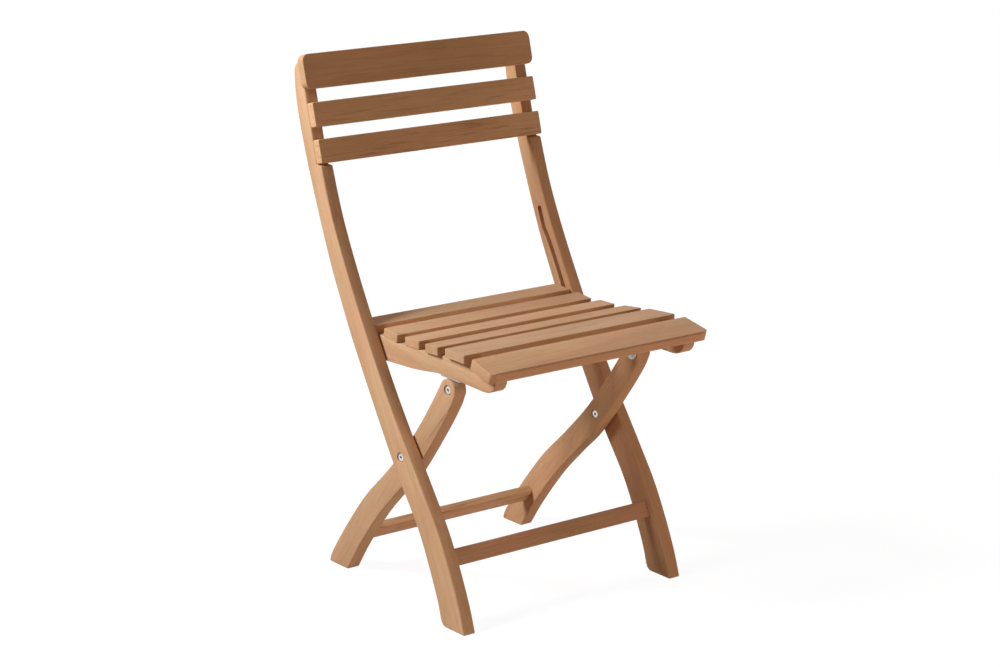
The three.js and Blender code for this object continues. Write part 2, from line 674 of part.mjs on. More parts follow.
function slidePin({ name, sign }) {
  const root = sign * (railOuterAt(SLIDE_PIN[0]) - PIN_IN_RAIL + FIT_GAP);
  const tip = sign * (UPRIGHT_OUTER - UPRIGHT_THICK + GROOVE_DEPTH - PIN_TIP_CLEARANCE);
  return piece(`${name}_slide_pin`, bar(SLIDE_PIN, PIN_RADIUS, root, tip, FINE_STEPS), ZINC);
}

function tabShape(top) {
  const [y, z] = SEAT_PIVOT;
  const shape = new THREE.Shape();
  shape.moveTo(y + TAB_RADIUS, top);
  shape.lineTo(y - TAB_RADIUS, top);
  shape.lineTo(y - TAB_RADIUS, z);
  shape.absarc(y, z, TAB_RADIUS, Math.PI, 2 * Math.PI);
  return shape;
}

function bracket({ name, sign }) {
  const tabOuter = sign * (LEG_OUTER + splayAt(SEAT_PIVOT[1]) - LEG_THICK - TAB_GAP);
  const tabInner = tabOuter - sign * BRACKET_THICK;
  const top = RAIL_SEAT_LEVEL - FIT_GAP;
  const flange = new THREE.BoxGeometry(BRACKET_ACROSS, BRACKET_FRONT + BRACKET_REAR, BRACKET_THICK);
  const flangeX = tabInner + (sign * BRACKET_ACROSS) / 2;
  const flangeY = SEAT_PIVOT[0] + (BRACKET_REAR - BRACKET_FRONT) / 2;
  flange.translate(flangeX, flangeY, top - BRACKET_THICK / 2);
  let body = solid(flange).add(plate(tabShape(top - BRACKET_THICK / 2), tabInner, tabOuter));
  const hole = bar(SEAT_PIVOT, SLEEVE_RADIUS + FIT_GAP, tabInner - sign, tabOuter + sign);
  body = body.subtract(hole);
  BRACKET_SCREWS.forEach((along) => {
    body = body.subtract(bracketScrew(bracketScrewPlace(sign, along), FIT_GAP));
  });
  return piece(`${name}_seat_bracket`, body, ZINC);
}

function bracketScrews({ name, sign }) {
  return BRACKET_SCREWS.map((along, index) => {
    const body = bracketScrew(bracketScrewPlace(sign, along));
    return piece(`${name}_bracket_screw_${index + 1}`, body, ZINC);
  });
}

function backFrame() {
  const group = new THREE.Group();
  SIDES.forEach((side) => group.add(upright(side)));
  BACK_SLATS.forEach((slat) => group.add(backSlat(slat)));
  group.add(stretcher('front_stretcher', FRONT_STRETCHER, UPRIGHT_OUTER - UPRIGHT_THICK));
  SIDES.forEach((side) => group.add(...backScrews(side)));
  return group;
}

function legFrame() {
  const group = new THREE.Group();
  SIDES.forEach((side) => group.add(leg(side), ...crossPivot(side), ...seatPivot(side)));
  group.add(stretcher('rear_stretcher', REAR_STRETCHER, rearShoulder()));
  return group;
}

function seatFrame() {
  const group = new THREE.Group();
  SIDES.forEach((side) => group.add(seatRail(side), bracket(side), slidePin(side)));
  SEAT_SLATS.forEach((slat, index) => group.add(seatSlat(slat, index)));
  SIDES.forEach((side) => group.add(...seatScrews(side), ...bracketScrews(side)));
  return group;
}

const chair = new THREE.Group();
chair.add(backFrame(), legFrame(), seatFrame());
chair.position.y = -DRAWING_TO_MIDDLE;

export default chair;
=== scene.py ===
"""Folding teak side chair: boards, hardware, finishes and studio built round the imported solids.

Metres, +Z up, the chair faces -Y and its left side is at -X. Side drawing points are (y, z) pairs.
"""

import logging
import math
import random
from collections.abc import Iterable
from dataclasses import dataclass
from enum import Enum

import bmesh
import bpy
import numpy as np
from mathutils import Euler, Matrix, Vector


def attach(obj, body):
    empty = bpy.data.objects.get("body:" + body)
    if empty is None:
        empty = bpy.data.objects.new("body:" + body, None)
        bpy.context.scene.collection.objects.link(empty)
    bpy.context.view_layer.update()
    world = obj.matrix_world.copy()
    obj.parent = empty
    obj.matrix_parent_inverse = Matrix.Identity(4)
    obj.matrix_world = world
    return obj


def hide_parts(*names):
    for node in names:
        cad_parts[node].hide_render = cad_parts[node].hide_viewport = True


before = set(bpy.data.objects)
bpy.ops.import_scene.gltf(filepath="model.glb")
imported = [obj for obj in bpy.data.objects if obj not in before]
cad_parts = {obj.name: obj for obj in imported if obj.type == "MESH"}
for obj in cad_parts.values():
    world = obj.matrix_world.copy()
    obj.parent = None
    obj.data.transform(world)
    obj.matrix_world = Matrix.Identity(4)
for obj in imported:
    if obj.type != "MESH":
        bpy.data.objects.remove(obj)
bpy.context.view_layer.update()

Colour = tuple[float, float, float]
Triple = tuple[float, float, float]
Pair = tuple[float, float]
Stops = tuple[Pair, ...]
Place = tuple[Vector, Vector]  # the underside of a fastener's head, and its shank's direction
Placing = tuple[Vector, Vector, Vector]  # a board's middle, its length's and its face's directions
Inputs = dict[str | int, object]
Socket = bpy.types.NodeSocket
NodeTree = bpy.types.NodeTree
Material = bpy.types.Material
Object = bpy.types.Object
Mesh = bpy.types.Mesh
Edge = bmesh.types.BMEdge

SIDES = {"left": -1.0, "right": 1.0}
ACROSS = Vector((1.0, 0.0, 0.0))  # outward, on the right side
INWARD = Vector((-1.0, 0.0, 0.0))
UP = Vector((0.0, 0.0, 1.0))
DRAWING_SHIFT = 0.0231  # how far the chair is moved forward from the side drawing, to centre it
GAP = 0.0003  # between pieces that lie against each other
WELD = 1e-6  # points nearer than this are merged
COUNTERBORE = 0.005
BRACKET_THICK = 0.0022
CROSS_PIVOT = (-0.0215, 0.2502)
SEAT_PIVOT = (-0.1035, 0.3795)
# marks rounded edges: teak gets wear plus a painted highlight there, zinc a painted highlight
EDGE_WEAR_AND_HIGHLIGHT = "edge_wear"
# marks the points down in a fastener's socket, where shade is painted
PAINTED_SOCKET_SHADE = "sunk"

log = logging.getLogger("chair")


class Graph:
    """A node tree being wired."""

    def __init__(self, tree: NodeTree) -> None:
        """Keeps the tree that nodes are added to."""
        self.tree = tree

    def add(
        self, kind: str, settings: dict[str, object] | None = None, inputs: Inputs | None = None
    ) -> bpy.types.Node:
        """Adds one node.

        Args:
            kind: The node's type name.
            settings: Values of the node's own properties.
            inputs: What its sockets are fed.

        Returns:
            The new node.
        """
        node = self.tree.nodes.new(kind)
        for name, value in (settings or {}).items():
            setattr(node, name, value)
        self.feed(node, inputs or {})
        return node

    def feed(self, node: bpy.types.Node, inputs: Inputs) -> None:
        """Links a node's input sockets, or sets their values.

        Args:
            node: The node.
            inputs: Sockets by name or number, each with another node's output, a list of them or a
                plain value. A colour needs no alpha.
        """
        for key, value in inputs.items():
            socket = node.inputs[key]
            if isinstance(value, (Socket, list)):
                for output in value if isinstance(value, list) else [value]:
                    self.tree.links.new(output, socket)
            else:
                socket.default_value = (*value, 1.0) if socket.type == "RGBA" else value

    def math(self, operation: str, *values: object, clamp: bool = False) -> Socket:
        """Adds a Math node, kept within 0 and 1 where clamp is true, and returns its output."""
        settings = {"operation": operation, "use_clamp": clamp}
        return self.add("ShaderNodeMath", settings, dict(enumerate(values))).outputs[0]

    def line(self, value: Socket, factor: float, shift: float, clamp: bool = False) -> Socket:
        """Returns a value times a factor, plus a shift."""
        return self.math("MULTIPLY_ADD", value, factor, shift, clamp=clamp)

    def swing(self, value: Socket, width: float) -> Socket:
        """Turns a noise, 0.5 on average, into a swing of a width about 0."""
        return self.line(value, width, -width / 2)

    def faded(self, value: Socket, where: Socket, share: float) -> Socket:
        """Takes a share off a value where another value is 1."""
        return self.math("MULTIPLY", value, self.line(where, -share, 1.0))

    def total(self, start: object, values: Iterable[Socket], weights: Iterable[float]) -> Socket:
        """Adds weighted values to a start.

        Args:
            start: The value that they are added to.
            values: The values.
            weights: The weight of each.

        Returns:
            The sum.
        """
        for value, weight in zip(values, weights, strict=True):
            start = self.math("MULTIPLY_ADD", value, weight, start)
        return start

    def vector(self, operation: str, *values: object) -> bpy.types.Node:
        """Adds a Vector Math node, which has a Vector and a Value output."""
        return self.add("ShaderNodeVectorMath", {"operation": operation}, dict(enumerate(values)))

    def tint(self, mode: str, factor: object, first: object, second: object) -> Socket:
        """Mixes two colours: a blend mode, the second's share, the first and the second."""
        settings = {"data_type": "RGBA", "blend_type": mode}
        return self.add("ShaderNodeMix", settings, {0: factor, 6: first, 7: second}).outputs[2]

    def attribute(self, name: str) -> Socket:
        """Reads a number that is stored on the mesh's points."""
        return self.add("ShaderNodeAttribute", {"attribute_name": name}).outputs["Fac"]

    def bump(self, height: Socket, strength: float, distance: float) -> Socket:
        """Adds a Bump node and returns its normal."""
        values = {"Strength": strength, "Distance": distance, "Height": height}
        return self.add("ShaderNodeBump", None, values).outputs[0]

    def ramp(self, factor: Socket, stops: Stops) -> Socket:
        """Adds a grey colour ramp.

        Args:
            factor: The value to look up.
            stops: Position and grey level of each stop, from low to high.

        Returns:
            The looked-up level.
        """
        node = self.add("ShaderNodeValToRGB", None, {0: factor})
        elements = node.color_ramp.elements
        for number, (position, level) in enumerate(stops):
            element = elements[number] if number < len(elements) else elements.new(position)
            element.position = position
            element.color = (level, level, level, 1.0)
        return node.outputs[0]


@dataclass(frozen=True)
class Noise:
    """A noise texture: its cells per metre in each direction, its octaves and their roughness."""

    cells: Triple
    detail: float
    roughness: float = 0.5

    def add(self, graph: Graph, at: Socket, colour: bool = False) -> Socket:
        """Adds the texture to a tree.

        Args:
            graph: The tree.
            at: The coordinate.
            colour: True for three values that differ.

        Returns:
            The noise, 0.5 on average.
        """
        scaled = graph.vector("MULTIPLY", at, self.cells).outputs[0]
        values = {"Vector": scaled, "Scale": 1.0, "Detail": self.detail}
        values["Roughness"] = self.roughness
        return graph.add("ShaderNodeTexNoise", {"normalize": True}, values).outputs[int(colour)]


def open_sockets(tree: NodeTree, way: str, kinds: dict[str, str]) -> dict[str, str]:
    """Adds named sockets to a node group.

    Args:
        tree: The group's tree.
        way: INPUT or OUTPUT.
        kinds: Each socket's name, with the last word of its type's name.

    Returns:
        Each socket's name, with its identifier.
    """
    made = {}
    for name, kind in kinds.items():
        socket = tree.interface.new_socket(name, in_out=way, socket_type=f"NodeSocket{kind}")
        made[name] = socket.identifier
    return made


def new_material(name: str) -> tuple[Material, Graph]:
    """Makes a material.

    Args:
        name: Its name.

    Returns:
        The material, and its node tree to wire.
    """
    made = bpy.data.materials.new(name)
    made.use_nodes = True
    return made, Graph(made.node_tree)


def put(name: str, data: bpy.types.ID) -> Object:
    """Adds an object to the scene.

    Args:
        name: Its name.
        data: Its mesh, lamp or camera.

    Returns:
        The object.
    """
    made = bpy.data.objects.new(name, data)
    bpy.context.scene.collection.objects.link(made)
    return made


def at_side(point: Pair, x: float = 0.0) -> Vector:
    """Returns the place of a side drawing point, at a distance across the chair."""
    return Vector((x, point[0] - DRAWING_SHIFT, point[1]))


def leaning(degrees: float) -> Vector:
    """Returns the direction of a face that looks forward and up by an angle."""
    turn = math.radians(degrees)
    return Vector((0.0, -math.cos(turn), math.sin(turn)))


def heading(azimuth: float, elevation: float) -> Vector:
    """Returns the direction of an azimuth, 0 at the chair's front, and an elevation in degrees."""
    turn, rise = math.radians(azimuth), math.radians(elevation)
    level = math.cos(rise)
    return Vector((math.sin(turn) * level, -math.cos(turn) * level, math.sin(rise)))


class Cut(Enum):
    """How a board was sawn: how far the pith lies below its wide face, and beside its middle."""

    FLAT = (0.055, 0.012)
    RIFT = (0.075, 0.060)


class Tone(Enum):
    """A board's colour, as a factor on the finish's colours: its own tone, made lighter or darker
    on some boards as painted light and shade.
    """

    HONEY = (1.0, 1.0, 1.0)
    STRAW = (0.97, 1.02, 1.04)
    PALE = (1.16, 1.22, 1.22)
    GREY = (0.90, 0.94, 0.97)
    TAWNY = (0.93, 0.91, 0.88)
    UMBER = (0.85, 0.83, 0.86)


@dataclass(frozen=True)
class Grain:
    """A board's grain: its cut, its tone, its seed and how strongly dark veins show."""

    cut: Cut
    tone: Tone
    seed: int
    figure: float = 0.15


Grains = tuple[Grain, Grain]  # of the left and the right piece
PITH_ASIDE = (0.8, 1.25)  # a board's own share of the distances that its cut gives
PITH_DEPTH = (0.85, 1.2)
PITH_START = (0.4, 3.0)  # metres along the pith to the board's middle
PITH_WANDER = (-1.3, 1.3)  # degrees between the pith and the board


@dataclass(frozen=True)
class Board:
    """The board that a piece is cut from: its middle, its length's and its face's directions."""

    middle: Vector
    along: Vector
    face: Vector
    grain: Grain

    def mapping(self) -> tuple[Vector, Euler]:
        """Works out where the board lay in its tree.

        Returns:
            The place and turn of the tree's own axes, with X along the pith.
        """
        along = self.along.normalized()
        face = (self.face - along * self.face.dot(along)).normalized()
        across = face.cross(along)
        chance = random.Random(self.grain.seed)
        depth, aside = self.grain.cut.value
        aside *= chance.choice((-1, 1)) * chance.uniform(*PITH_ASIDE)
        pith = self.middle - face * depth * chance.uniform(*PITH_DEPTH) + across * aside
        pith += along * chance.uniform(*PITH_START)
        wander = Matrix.Rotation(math.radians(chance.uniform(*PITH_WANDER)), 3, across)
        axes = wander @ Matrix((along, across, face)).transposed()
        return pith, axes.to_euler()


@dataclass(frozen=True)
class Teak:
    """Oiled teak, planed and sanded, with straight fine grain along the board's X."""

    light: Colour = (0.665, 0.435, 0.262)
    dark: Colour = (0.47, 0.275, 0.147)
    pore: Colour = (0.27, 0.14, 0.07)
    vein: Colour = (0.34, 0.175, 0.085)
    # lighter colour on rounded edges: partly sanded wear, partly a painted highlight
    wear_and_highlight: Colour = (0.72, 0.50, 0.34)
    warm_hue: Colour = (1.03, 0.955, 0.945)
    cool_hue: Colour = (0.985, 0.995, 0.965)
    end_hue: Colour = (0.70, 0.84, 0.90)
    pore_share: float = 0.45
    wear_and_highlight_share: float = 0.16
    end_share: float = 0.26
    end_power: float = 3.0
    end_pores_lost: float = 0.7
    end_streaks_lost: float = 0.6
    ring_width: float = 0.0027
    ring_waver: float = 0.014
    ring_unevenness: float = 1.5
    ring_stops: Stops = ((0.0, 0.55), (0.13, 0.51), (0.26, 0.61), (0.62, 0.65), (1.0, 0.58))
    early_stops: Stops = ((0.0, 0.35), (0.08, 1.0), (0.22, 0.12), (1.0, 0.05))
    pore_stops: Stops = ((0.0, 0.0), (0.60, 0.0), (0.70, 1.0))
    vein_stops: Stops = ((0.0, 0.0), (0.54, 0.0), (0.66, 1.0))
    bends: Noise = Noise((1.7, 9.0, 9.0), 2.0)
    uneven: Noise = Noise((0.9, 60.0, 60.0), 2.0)
    fibres: Noise = Noise((5.0, 620.0, 620.0), 4.0, 0.62)
    dashes: Noise = Noise((75.0, 1500.0, 1500.0), 2.0)
    mottle: Noise = Noise((5.0, 34.0, 34.0), 3.0)
    flush: Noise = Noise((7.0, 24.0, 24.0), 2.0)
    veins: Noise = Noise((11.0, 210.0, 210.0), 3.0)
    rubs: Noise = Noise((70.0, 160.0, 160.0), 3.0)
    fibre_swing: float = 0.8
    mottle_swing: float = 1.0
    crowd_line: Pair = (0.10, -0.055)
    warm_line: Pair = (4.0, -1.5)
    rub_line: Pair = (1.5, -0.3)
    roughness: float = 0.62
    rough_weights: Triple = (0.16, 0.12, -0.08)  # of fibres, pores and wear
    height_weights: Triple = (-0.8, 0.5, -0.35)  # of pores, fibres and early wood
    bump_strength: float = 0.55
    bump_height: float = 0.0002
    gloss: float = 0.2

    def pattern(self) -> NodeTree:
        """Builds the shared pattern, or returns it once built.

        Returns:
            A node group from board coordinates to colour, roughness and height.
        """
        name = "teak_pattern"
        if name in bpy.data.node_groups:
            return bpy.data.node_groups[name]
        tree = bpy.data.node_groups.new(name, "ShaderNodeTree")
        numbers = dict.fromkeys(("End Grain", "Wear", "Figure"), "Float")
        open_sockets(tree, "INPUT", {"Board": "Vector", **numbers, "Tone": "Color"})
        open_sockets(tree, "OUTPUT", {"Colour": "Color", "Roughness": "Float", "Height": "Float"})
        graph = Graph(tree)
        given = graph.add("NodeGroupInput").outputs
        board, end = given["Board"], given["End Grain"]
        rings, early = self.rings(graph, board)
        fibre = self.fibres.add(graph, board)
        crowded = graph.line(early, *self.crowd_line)
        pores = graph.math("ADD", self.dashes.add(graph, board), crowded)
        pores = graph.faded(graph.ramp(pores, self.pore_stops), end, self.end_pores_lost)
        rub = graph.line(self.rubs.add(graph, board), *self.rub_line, clamp=True)
        # Rounded edges go lighter: partly wear, partly a painted highlight.
        wear_and_highlight_amount = graph.math("MULTIPLY", given["Wear"], rub)
        streak = graph.faded(graph.swing(fibre, self.fibre_swing), end, self.end_streaks_lost)
        drift = graph.swing(self.mottle.add(graph, board), self.mottle_swing)
        tone = graph.math("ADD", rings, graph.math("ADD", streak, drift), clamp=True)
        warm = graph.line(self.flush.add(graph, board), *self.warm_line, clamp=True)
        veins = graph.ramp(self.veins.add(graph, board), self.vein_stops)
        colour = graph.tint("MIX", tone, self.dark, self.light)
        layers = (
            ("MULTIPLY", 1.0, graph.tint("MIX", warm, self.cool_hue, self.warm_hue)),
            ("MIX", graph.math("MULTIPLY", veins, given["Figure"]), self.vein),
            ("MIX", graph.math("MULTIPLY", pores, self.pore_share), self.pore),
            ("MULTIPLY", graph.math("MULTIPLY", end, self.end_share), self.end_hue),
            ("MIX", graph.math("MULTIPLY", wear_and_highlight_amount, self.wear_and_highlight_share), self.wear_and_highlight),
            ("MULTIPLY", 1.0, given["Tone"]),
        )
        for mode, share, second in layers:
            colour = graph.tint(mode, share, colour, second)
        smooth = self.roughness - self.rough_weights[0] / 2
        taken = {
            "Colour": colour,
            "Roughness": graph.total(smooth, (fibre, pores, wear_and_highlight_amount), self.rough_weights),
            "Height": graph.total(0.0, (pores, fibre, early), self.height_weights),
        }
        graph.add("NodeGroupOutput", None, taken)
        return tree

    def rings(self, graph: Graph, board: Socket) -> tuple[Socket, Socket]:
        """Adds the growth rings round the pith.

        Args:
            graph: The pattern's tree.
            board: The board coordinate.

        Returns:
            The wood's lightness over a ring, and the narrow band of open early wood.
        """
        bend = self.bends.add(graph, board, colour=True)
        shift = graph.vector("SUBTRACT", bend, (0.5, 0.5, 0.5)).outputs[0]
        waver = (0.0, self.ring_waver, self.ring_waver)
        warp = graph.vector("MULTIPLY", shift, waver).outputs[0]
        flat = graph.vector("MULTIPLY", board, (0.0, 1.0, 1.0)).outputs[0]
        reach = graph.vector("LENGTH", graph.vector("ADD", flat, warp).outputs[0]).outputs["Value"]
        count = graph.math("DIVIDE", reach, self.ring_width)
        count = graph.total(count, [self.uneven.add(graph, board)], [self.ring_unevenness])
        phase = graph.math("FRACT", count)
        return graph.ramp(phase, self.ring_stops), graph.ramp(phase, self.early_stops)

    def material(self, name: str, board: Board) -> Material:
        """Makes the finish for one piece.

        Args:
            name: The piece's name.
            board: The board that it is cut from.

        Returns:
            The material.
        """
        made, graph = new_material(f"teak_{name}")
        where = graph.add("ShaderNodeTexCoord").outputs
        place, turn = board.mapping()
        values = {"Vector": where["Object"], "Location": place, "Rotation": turn}
        mapping = graph.add("ShaderNodeMapping", {"vector_type": "TEXTURE"}, values)
        along = tuple(board.along.normalized())
        facing = graph.vector("DOT_PRODUCT", where["Normal"], along).outputs["Value"]
        values = {
            "Board": mapping.outputs[0],
            "End Grain": graph.math("POWER", graph.math("ABSOLUTE", facing), self.end_power),
            "Wear": graph.attribute(EDGE_WEAR_AND_HIGHLIGHT),
            "Figure": board.grain.figure,
            "Tone": board.grain.tone.value,
        }
        wood = graph.add("ShaderNodeGroup", {"node_tree": self.pattern()}, values).outputs
        values = {
            "Base Color": wood["Colour"],
            "Roughness": wood["Roughness"],
            "Normal": graph.bump(wood["Height"], self.bump_strength, self.bump_height),
            "Specular IOR Level": self.gloss,
        }
        graph.feed(made.node_tree.nodes["Principled BSDF"], values)
        return made


@dataclass(frozen=True)
class Zinc:
    """Zinc-plated steel, softly brushed and a little dull in places, with painted shade down in its
    sockets and a painted highlight on its rims.
    """

    name: str = "zinc_plate"
    bright: Colour = (0.66, 0.64, 0.62)
    dull: Colour = (0.42, 0.40, 0.38)
    roughness: float = 0.32
    # painted highlight on the rounded rims
    wear_and_highlight: Colour = (0.78, 0.77, 0.75)
    # painted shade down in the sockets
    shade: Colour = (0.035, 0.03, 0.028)
    wear_and_highlight_share: float = 0.5
    clouds: Noise = Noise((160.0, 160.0, 160.0), 4.0)
    brushing: Noise = Noise((900.0, 900.0, 9000.0), 2.0)
    patch_stops: Stops = ((0.0, 0.85), (0.42, 0.55), (0.60, 0.0))
    rough_weights: Pair = (0.18, 0.10)  # of dull patches and brushing
    bump_strength: float = 0.25
    bump_height: float = 0.00004

    def material(self) -> Material:
        """Makes the finish, or returns it once made.

        Returns:
            The material.
        """
        if self.name in bpy.data.materials:
            return bpy.data.materials[self.name]
        made, graph = new_material(self.name)
        where = graph.add("ShaderNodeTexCoord").outputs["Object"]
        brush = self.brushing.add(graph, where)
        patch = graph.ramp(self.clouds.add(graph, where), self.patch_stops)
        colour = graph.tint("MIX", patch, self.bright, self.dull)
        # Painted highlight on the rounded rims.
        wear_and_highlight_amount = graph.math("MULTIPLY", graph.attribute(EDGE_WEAR_AND_HIGHLIGHT), self.wear_and_highlight_share)
        colour = graph.tint("MIX", wear_and_highlight_amount, colour, self.wear_and_highlight)
        values = {
            # painted shade down in the sockets
            "Base Color": graph.tint("MIX", graph.attribute(PAINTED_SOCKET_SHADE), colour, self.shade),
            "Roughness": graph.total(self.roughness, (patch, brush), self.rough_weights),
            "Normal": graph.bump(brush, self.bump_strength, self.bump_height),
            "Metallic": 1.0,
        }
        graph.feed(made.node_tree.nodes["Principled BSDF"], values)
        return made


TEAK = Teak()
ZINC = Zinc()
ZINC_STRIP = Zinc("zinc_strip", (0.46, 0.455, 0.43), (0.27, 0.26, 0.24), 0.42)


class Easing(Enum):
    """Which edges of a solid take the large radius."""

    OUTLINE = "the outline of the two faces across the chair"
    LONG = "every long edge"
    ALL = "every sharp edge"


@dataclass(frozen=True)
class Softener:
    """Rounds a solid's edges: a large radius where it is handled, a small one round holes."""

    large: float
    small: float = 0.0005
    segments: int = 3
    sharp_angle: float = math.radians(32)
    flat_angle: float = math.radians(0.2)
    long_edge: float = 0.045
    level_slack: float = 2e-6

    def merged(self, node: str) -> Mesh:
        """Copies a solid's mesh, with its doubles merged and its flat faces joined.

        Args:
            node: The solid's name.

        Returns:
            The new mesh.
        """
        shape = bmesh.new()
        shape.from_mesh(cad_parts[node].data)
        bmesh.ops.remove_doubles(shape, verts=shape.verts, dist=WELD)
        bmesh.ops.dissolve_limit(
            shape,
            angle_limit=self.flat_angle,
            use_dissolve_boundaries=False,
            verts=shape.verts,
            edges=shape.edges,
        )
        bmesh.ops.recalc_face_normals(shape, faces=shape.faces)
        mesh = bpy.data.meshes.new(node)
        shape.to_mesh(mesh)
        shape.free()
        mesh.materials.clear()
        return mesh

    def weigh(self, mesh: Mesh, easing: Easing, across: Vector) -> None:
        """Marks each sharp edge with its share of the large radius.

        Args:
            mesh: The mesh to mark.
            easing: Which edges take the large radius.
            across: The direction square to the two faces of the outline.
        """
        shape = bmesh.new()
        shape.from_mesh(mesh)
        layer = shape.edges.layers.float.new("bevel_weight_edge")
        sharp = [e for e in shape.edges if e.calc_face_angle(0.0) > self.sharp_angle]
        main = self.outline(sharp, across) if easing is Easing.OUTLINE else set()
        for edge in sharp:
            is_long = easing is Easing.LONG and edge.calc_length() > self.long_edge
            is_main = easing is Easing.ALL or is_long or edge in main
            edge[layer] = 1.0 if is_main else self.small / self.large
        shape.to_mesh(mesh)
        shape.free()

    def outline(self, sharp: list[Edge], across: Vector) -> set[Edge]:
        """Finds the outer loop of each of the two faces, and the corners that join the loops.

        Args:
            sharp: The sharp edges.
            across: The direction square to the two faces.

        Returns:
            The edges of the outline.
        """
        flat = {
            e for e in sharp if abs((e.verts[0].co - e.verts[1].co).dot(across)) < self.level_slack
        }
        loops, left = [], set(flat)
        while left:
            front = {left.pop()}
            loops.append(set(front))
            while front:
                front = {e for f in front for v in f.verts for e in v.link_edges} & left
                left -= front
                loops[-1] |= front
        main = set().union(*sorted(loops, key=len_of)[-2:])
        corners = {v for e in main for v in e.verts}
        return main | {e for e in sharp if e not in flat and all(v in corners for v in e.verts)}

    def round_off(self, mesh: Mesh, name: str, by_weight: bool = False) -> Mesh:
        """Rounds the edges of a mesh and marks the rounded bands for wear and a painted highlight.

        Args:
            mesh: The mesh.
            name: The name of the result.
            by_weight: True to round edges as weigh() marked them, and False to round every sharp
                edge by the large radius.

        Returns:
            The rounded mesh.
        """
        holder = put(f"{name}_blank", mesh)
        mesh.polygons.foreach_set("use_smooth", [True] * len(mesh.polygons))
        bevel = holder.modifiers.new("edges", "BEVEL")
        bevel.width = self.large
        bevel.segments = self.segments
        bevel.limit_method = "WEIGHT" if by_weight else "ANGLE"
        bevel.angle_limit = self.sharp_angle
        bevel.use_clamp_overlap = False
        bevel.harden_normals = True
        rounded = from_modifiers(holder, name)
        mark_wear_and_highlight(rounded, self.large)
        return rounded


def len_of(edges: Iterable[Edge]) -> float:
    """Returns the length of some edges together."""
    return sum(edge.calc_length() for edge in edges)


def mark_wear_and_highlight(mesh: Mesh, band: float) -> None:
    """Stores where the rounded edges are, for wear and a painted highlight: 1 in the middle of a
    rounded edge, 0 on flat faces.

    Args:
        mesh: The rounded mesh.
        band: The radius of the rounding.
    """
    widest = np.zeros(len(mesh.vertices))
    for face in mesh.polygons:
        corners = [mesh.vertices[v].co for v in face.vertices]
        narrow = min((corners[i - 1] - corner).length for i, corner in enumerate(corners))
        for vert in face.vertices:
            widest[vert] = max(widest[vert], narrow)
    wear_and_highlight = (widest < band).astype(np.float32)
    mesh.attributes.new(EDGE_WEAR_AND_HIGHLIGHT, "FLOAT", "POINT").data.foreach_set("value", wear_and_highlight)


def from_modifiers(holder: Object, name: str) -> Mesh:
    """Turns an object's modifiers into a plain mesh and removes the object.

    Args:
        holder: The object with its modifiers.
        name: The name of the new mesh.

    Returns:
        The new mesh.
    """
    bpy.context.view_layer.update()
    graph = bpy.context.evaluated_depsgraph_get()
    made = bpy.data.meshes.new_from_object(
        holder.evaluated_get(graph), preserve_all_data_layers=True, depsgraph=graph
    )
    made.name = name
    old = holder.data
    holder.modifiers.clear()
    bpy.data.objects.remove(holder)
    bpy.data.meshes.remove(old)
    return made


class TreeKit:
    """A geometry node tree with named inputs, run on a carrier mesh."""

    def __init__(self, name: str, kinds: dict[str, str]) -> None:
        """Starts the tree.

        Args:
            name: The tree's name.
            kinds: Each input's name, with the last word of its type's name.
        """
        self.tree = bpy.data.node_groups.new(name, "GeometryNodeTree")
        kinds = {"Geometry": "Geometry", **kinds, "Material": "Material"}
        self.sockets = open_sockets(self.tree, "INPUT", kinds)
        open_sockets(self.tree, "OUTPUT", {"Geometry": "Geometry"})
        self.graph = Graph(self.tree)
        self.given = self.graph.add("NodeGroupInput").outputs

    def step(self, kind: str, inputs: Inputs, **settings: object) -> Socket:
        """Adds a geometry node and returns its first output."""
        return self.graph.add(f"GeometryNode{kind}", settings, inputs).outputs[0]

    def lifted(self, geometry: Socket, height: object) -> Socket:
        """Moves geometry along Z."""
        shift = self.graph.add("ShaderNodeCombineXYZ", None, {"Z": height}).outputs[0]
        return self.step("Transform", {"Geometry": geometry, "Translation": shift})

    def close(self, geometry: Socket) -> None:
        """Ends the tree: instances made real, and the material set.

        Args:
            geometry: The last geometry.
        """
        real = self.step("RealizeInstances", {"Geometry": geometry})
        values = {"Geometry": real, "Material": self.given["Material"]}
        self.graph.add("NodeGroupOutput", None, {0: self.step("SetMaterial", values)})

    def run(self, carrier: Mesh, name: str, values: dict[str, object]) -> Mesh:
        """Runs the tree on a carrier mesh.

        Args:
            carrier: The mesh that the tree starts from.
            name: The name of the result.
            values: The tree's inputs, named in lower case with underscores, and maybe more.

        Returns:
            The mesh that the tree makes.
        """
        holder = put(f"{name}_carrier", carrier)
        modifier = holder.modifiers.new("tree", "NODES")
        modifier.node_group = self.tree
        for title, identifier in self.sockets.items():
            key = title.lower().replace(" ", "_")
            if key in values:
                modifier[identifier] = values[key]
        return from_modifiers(holder, name)


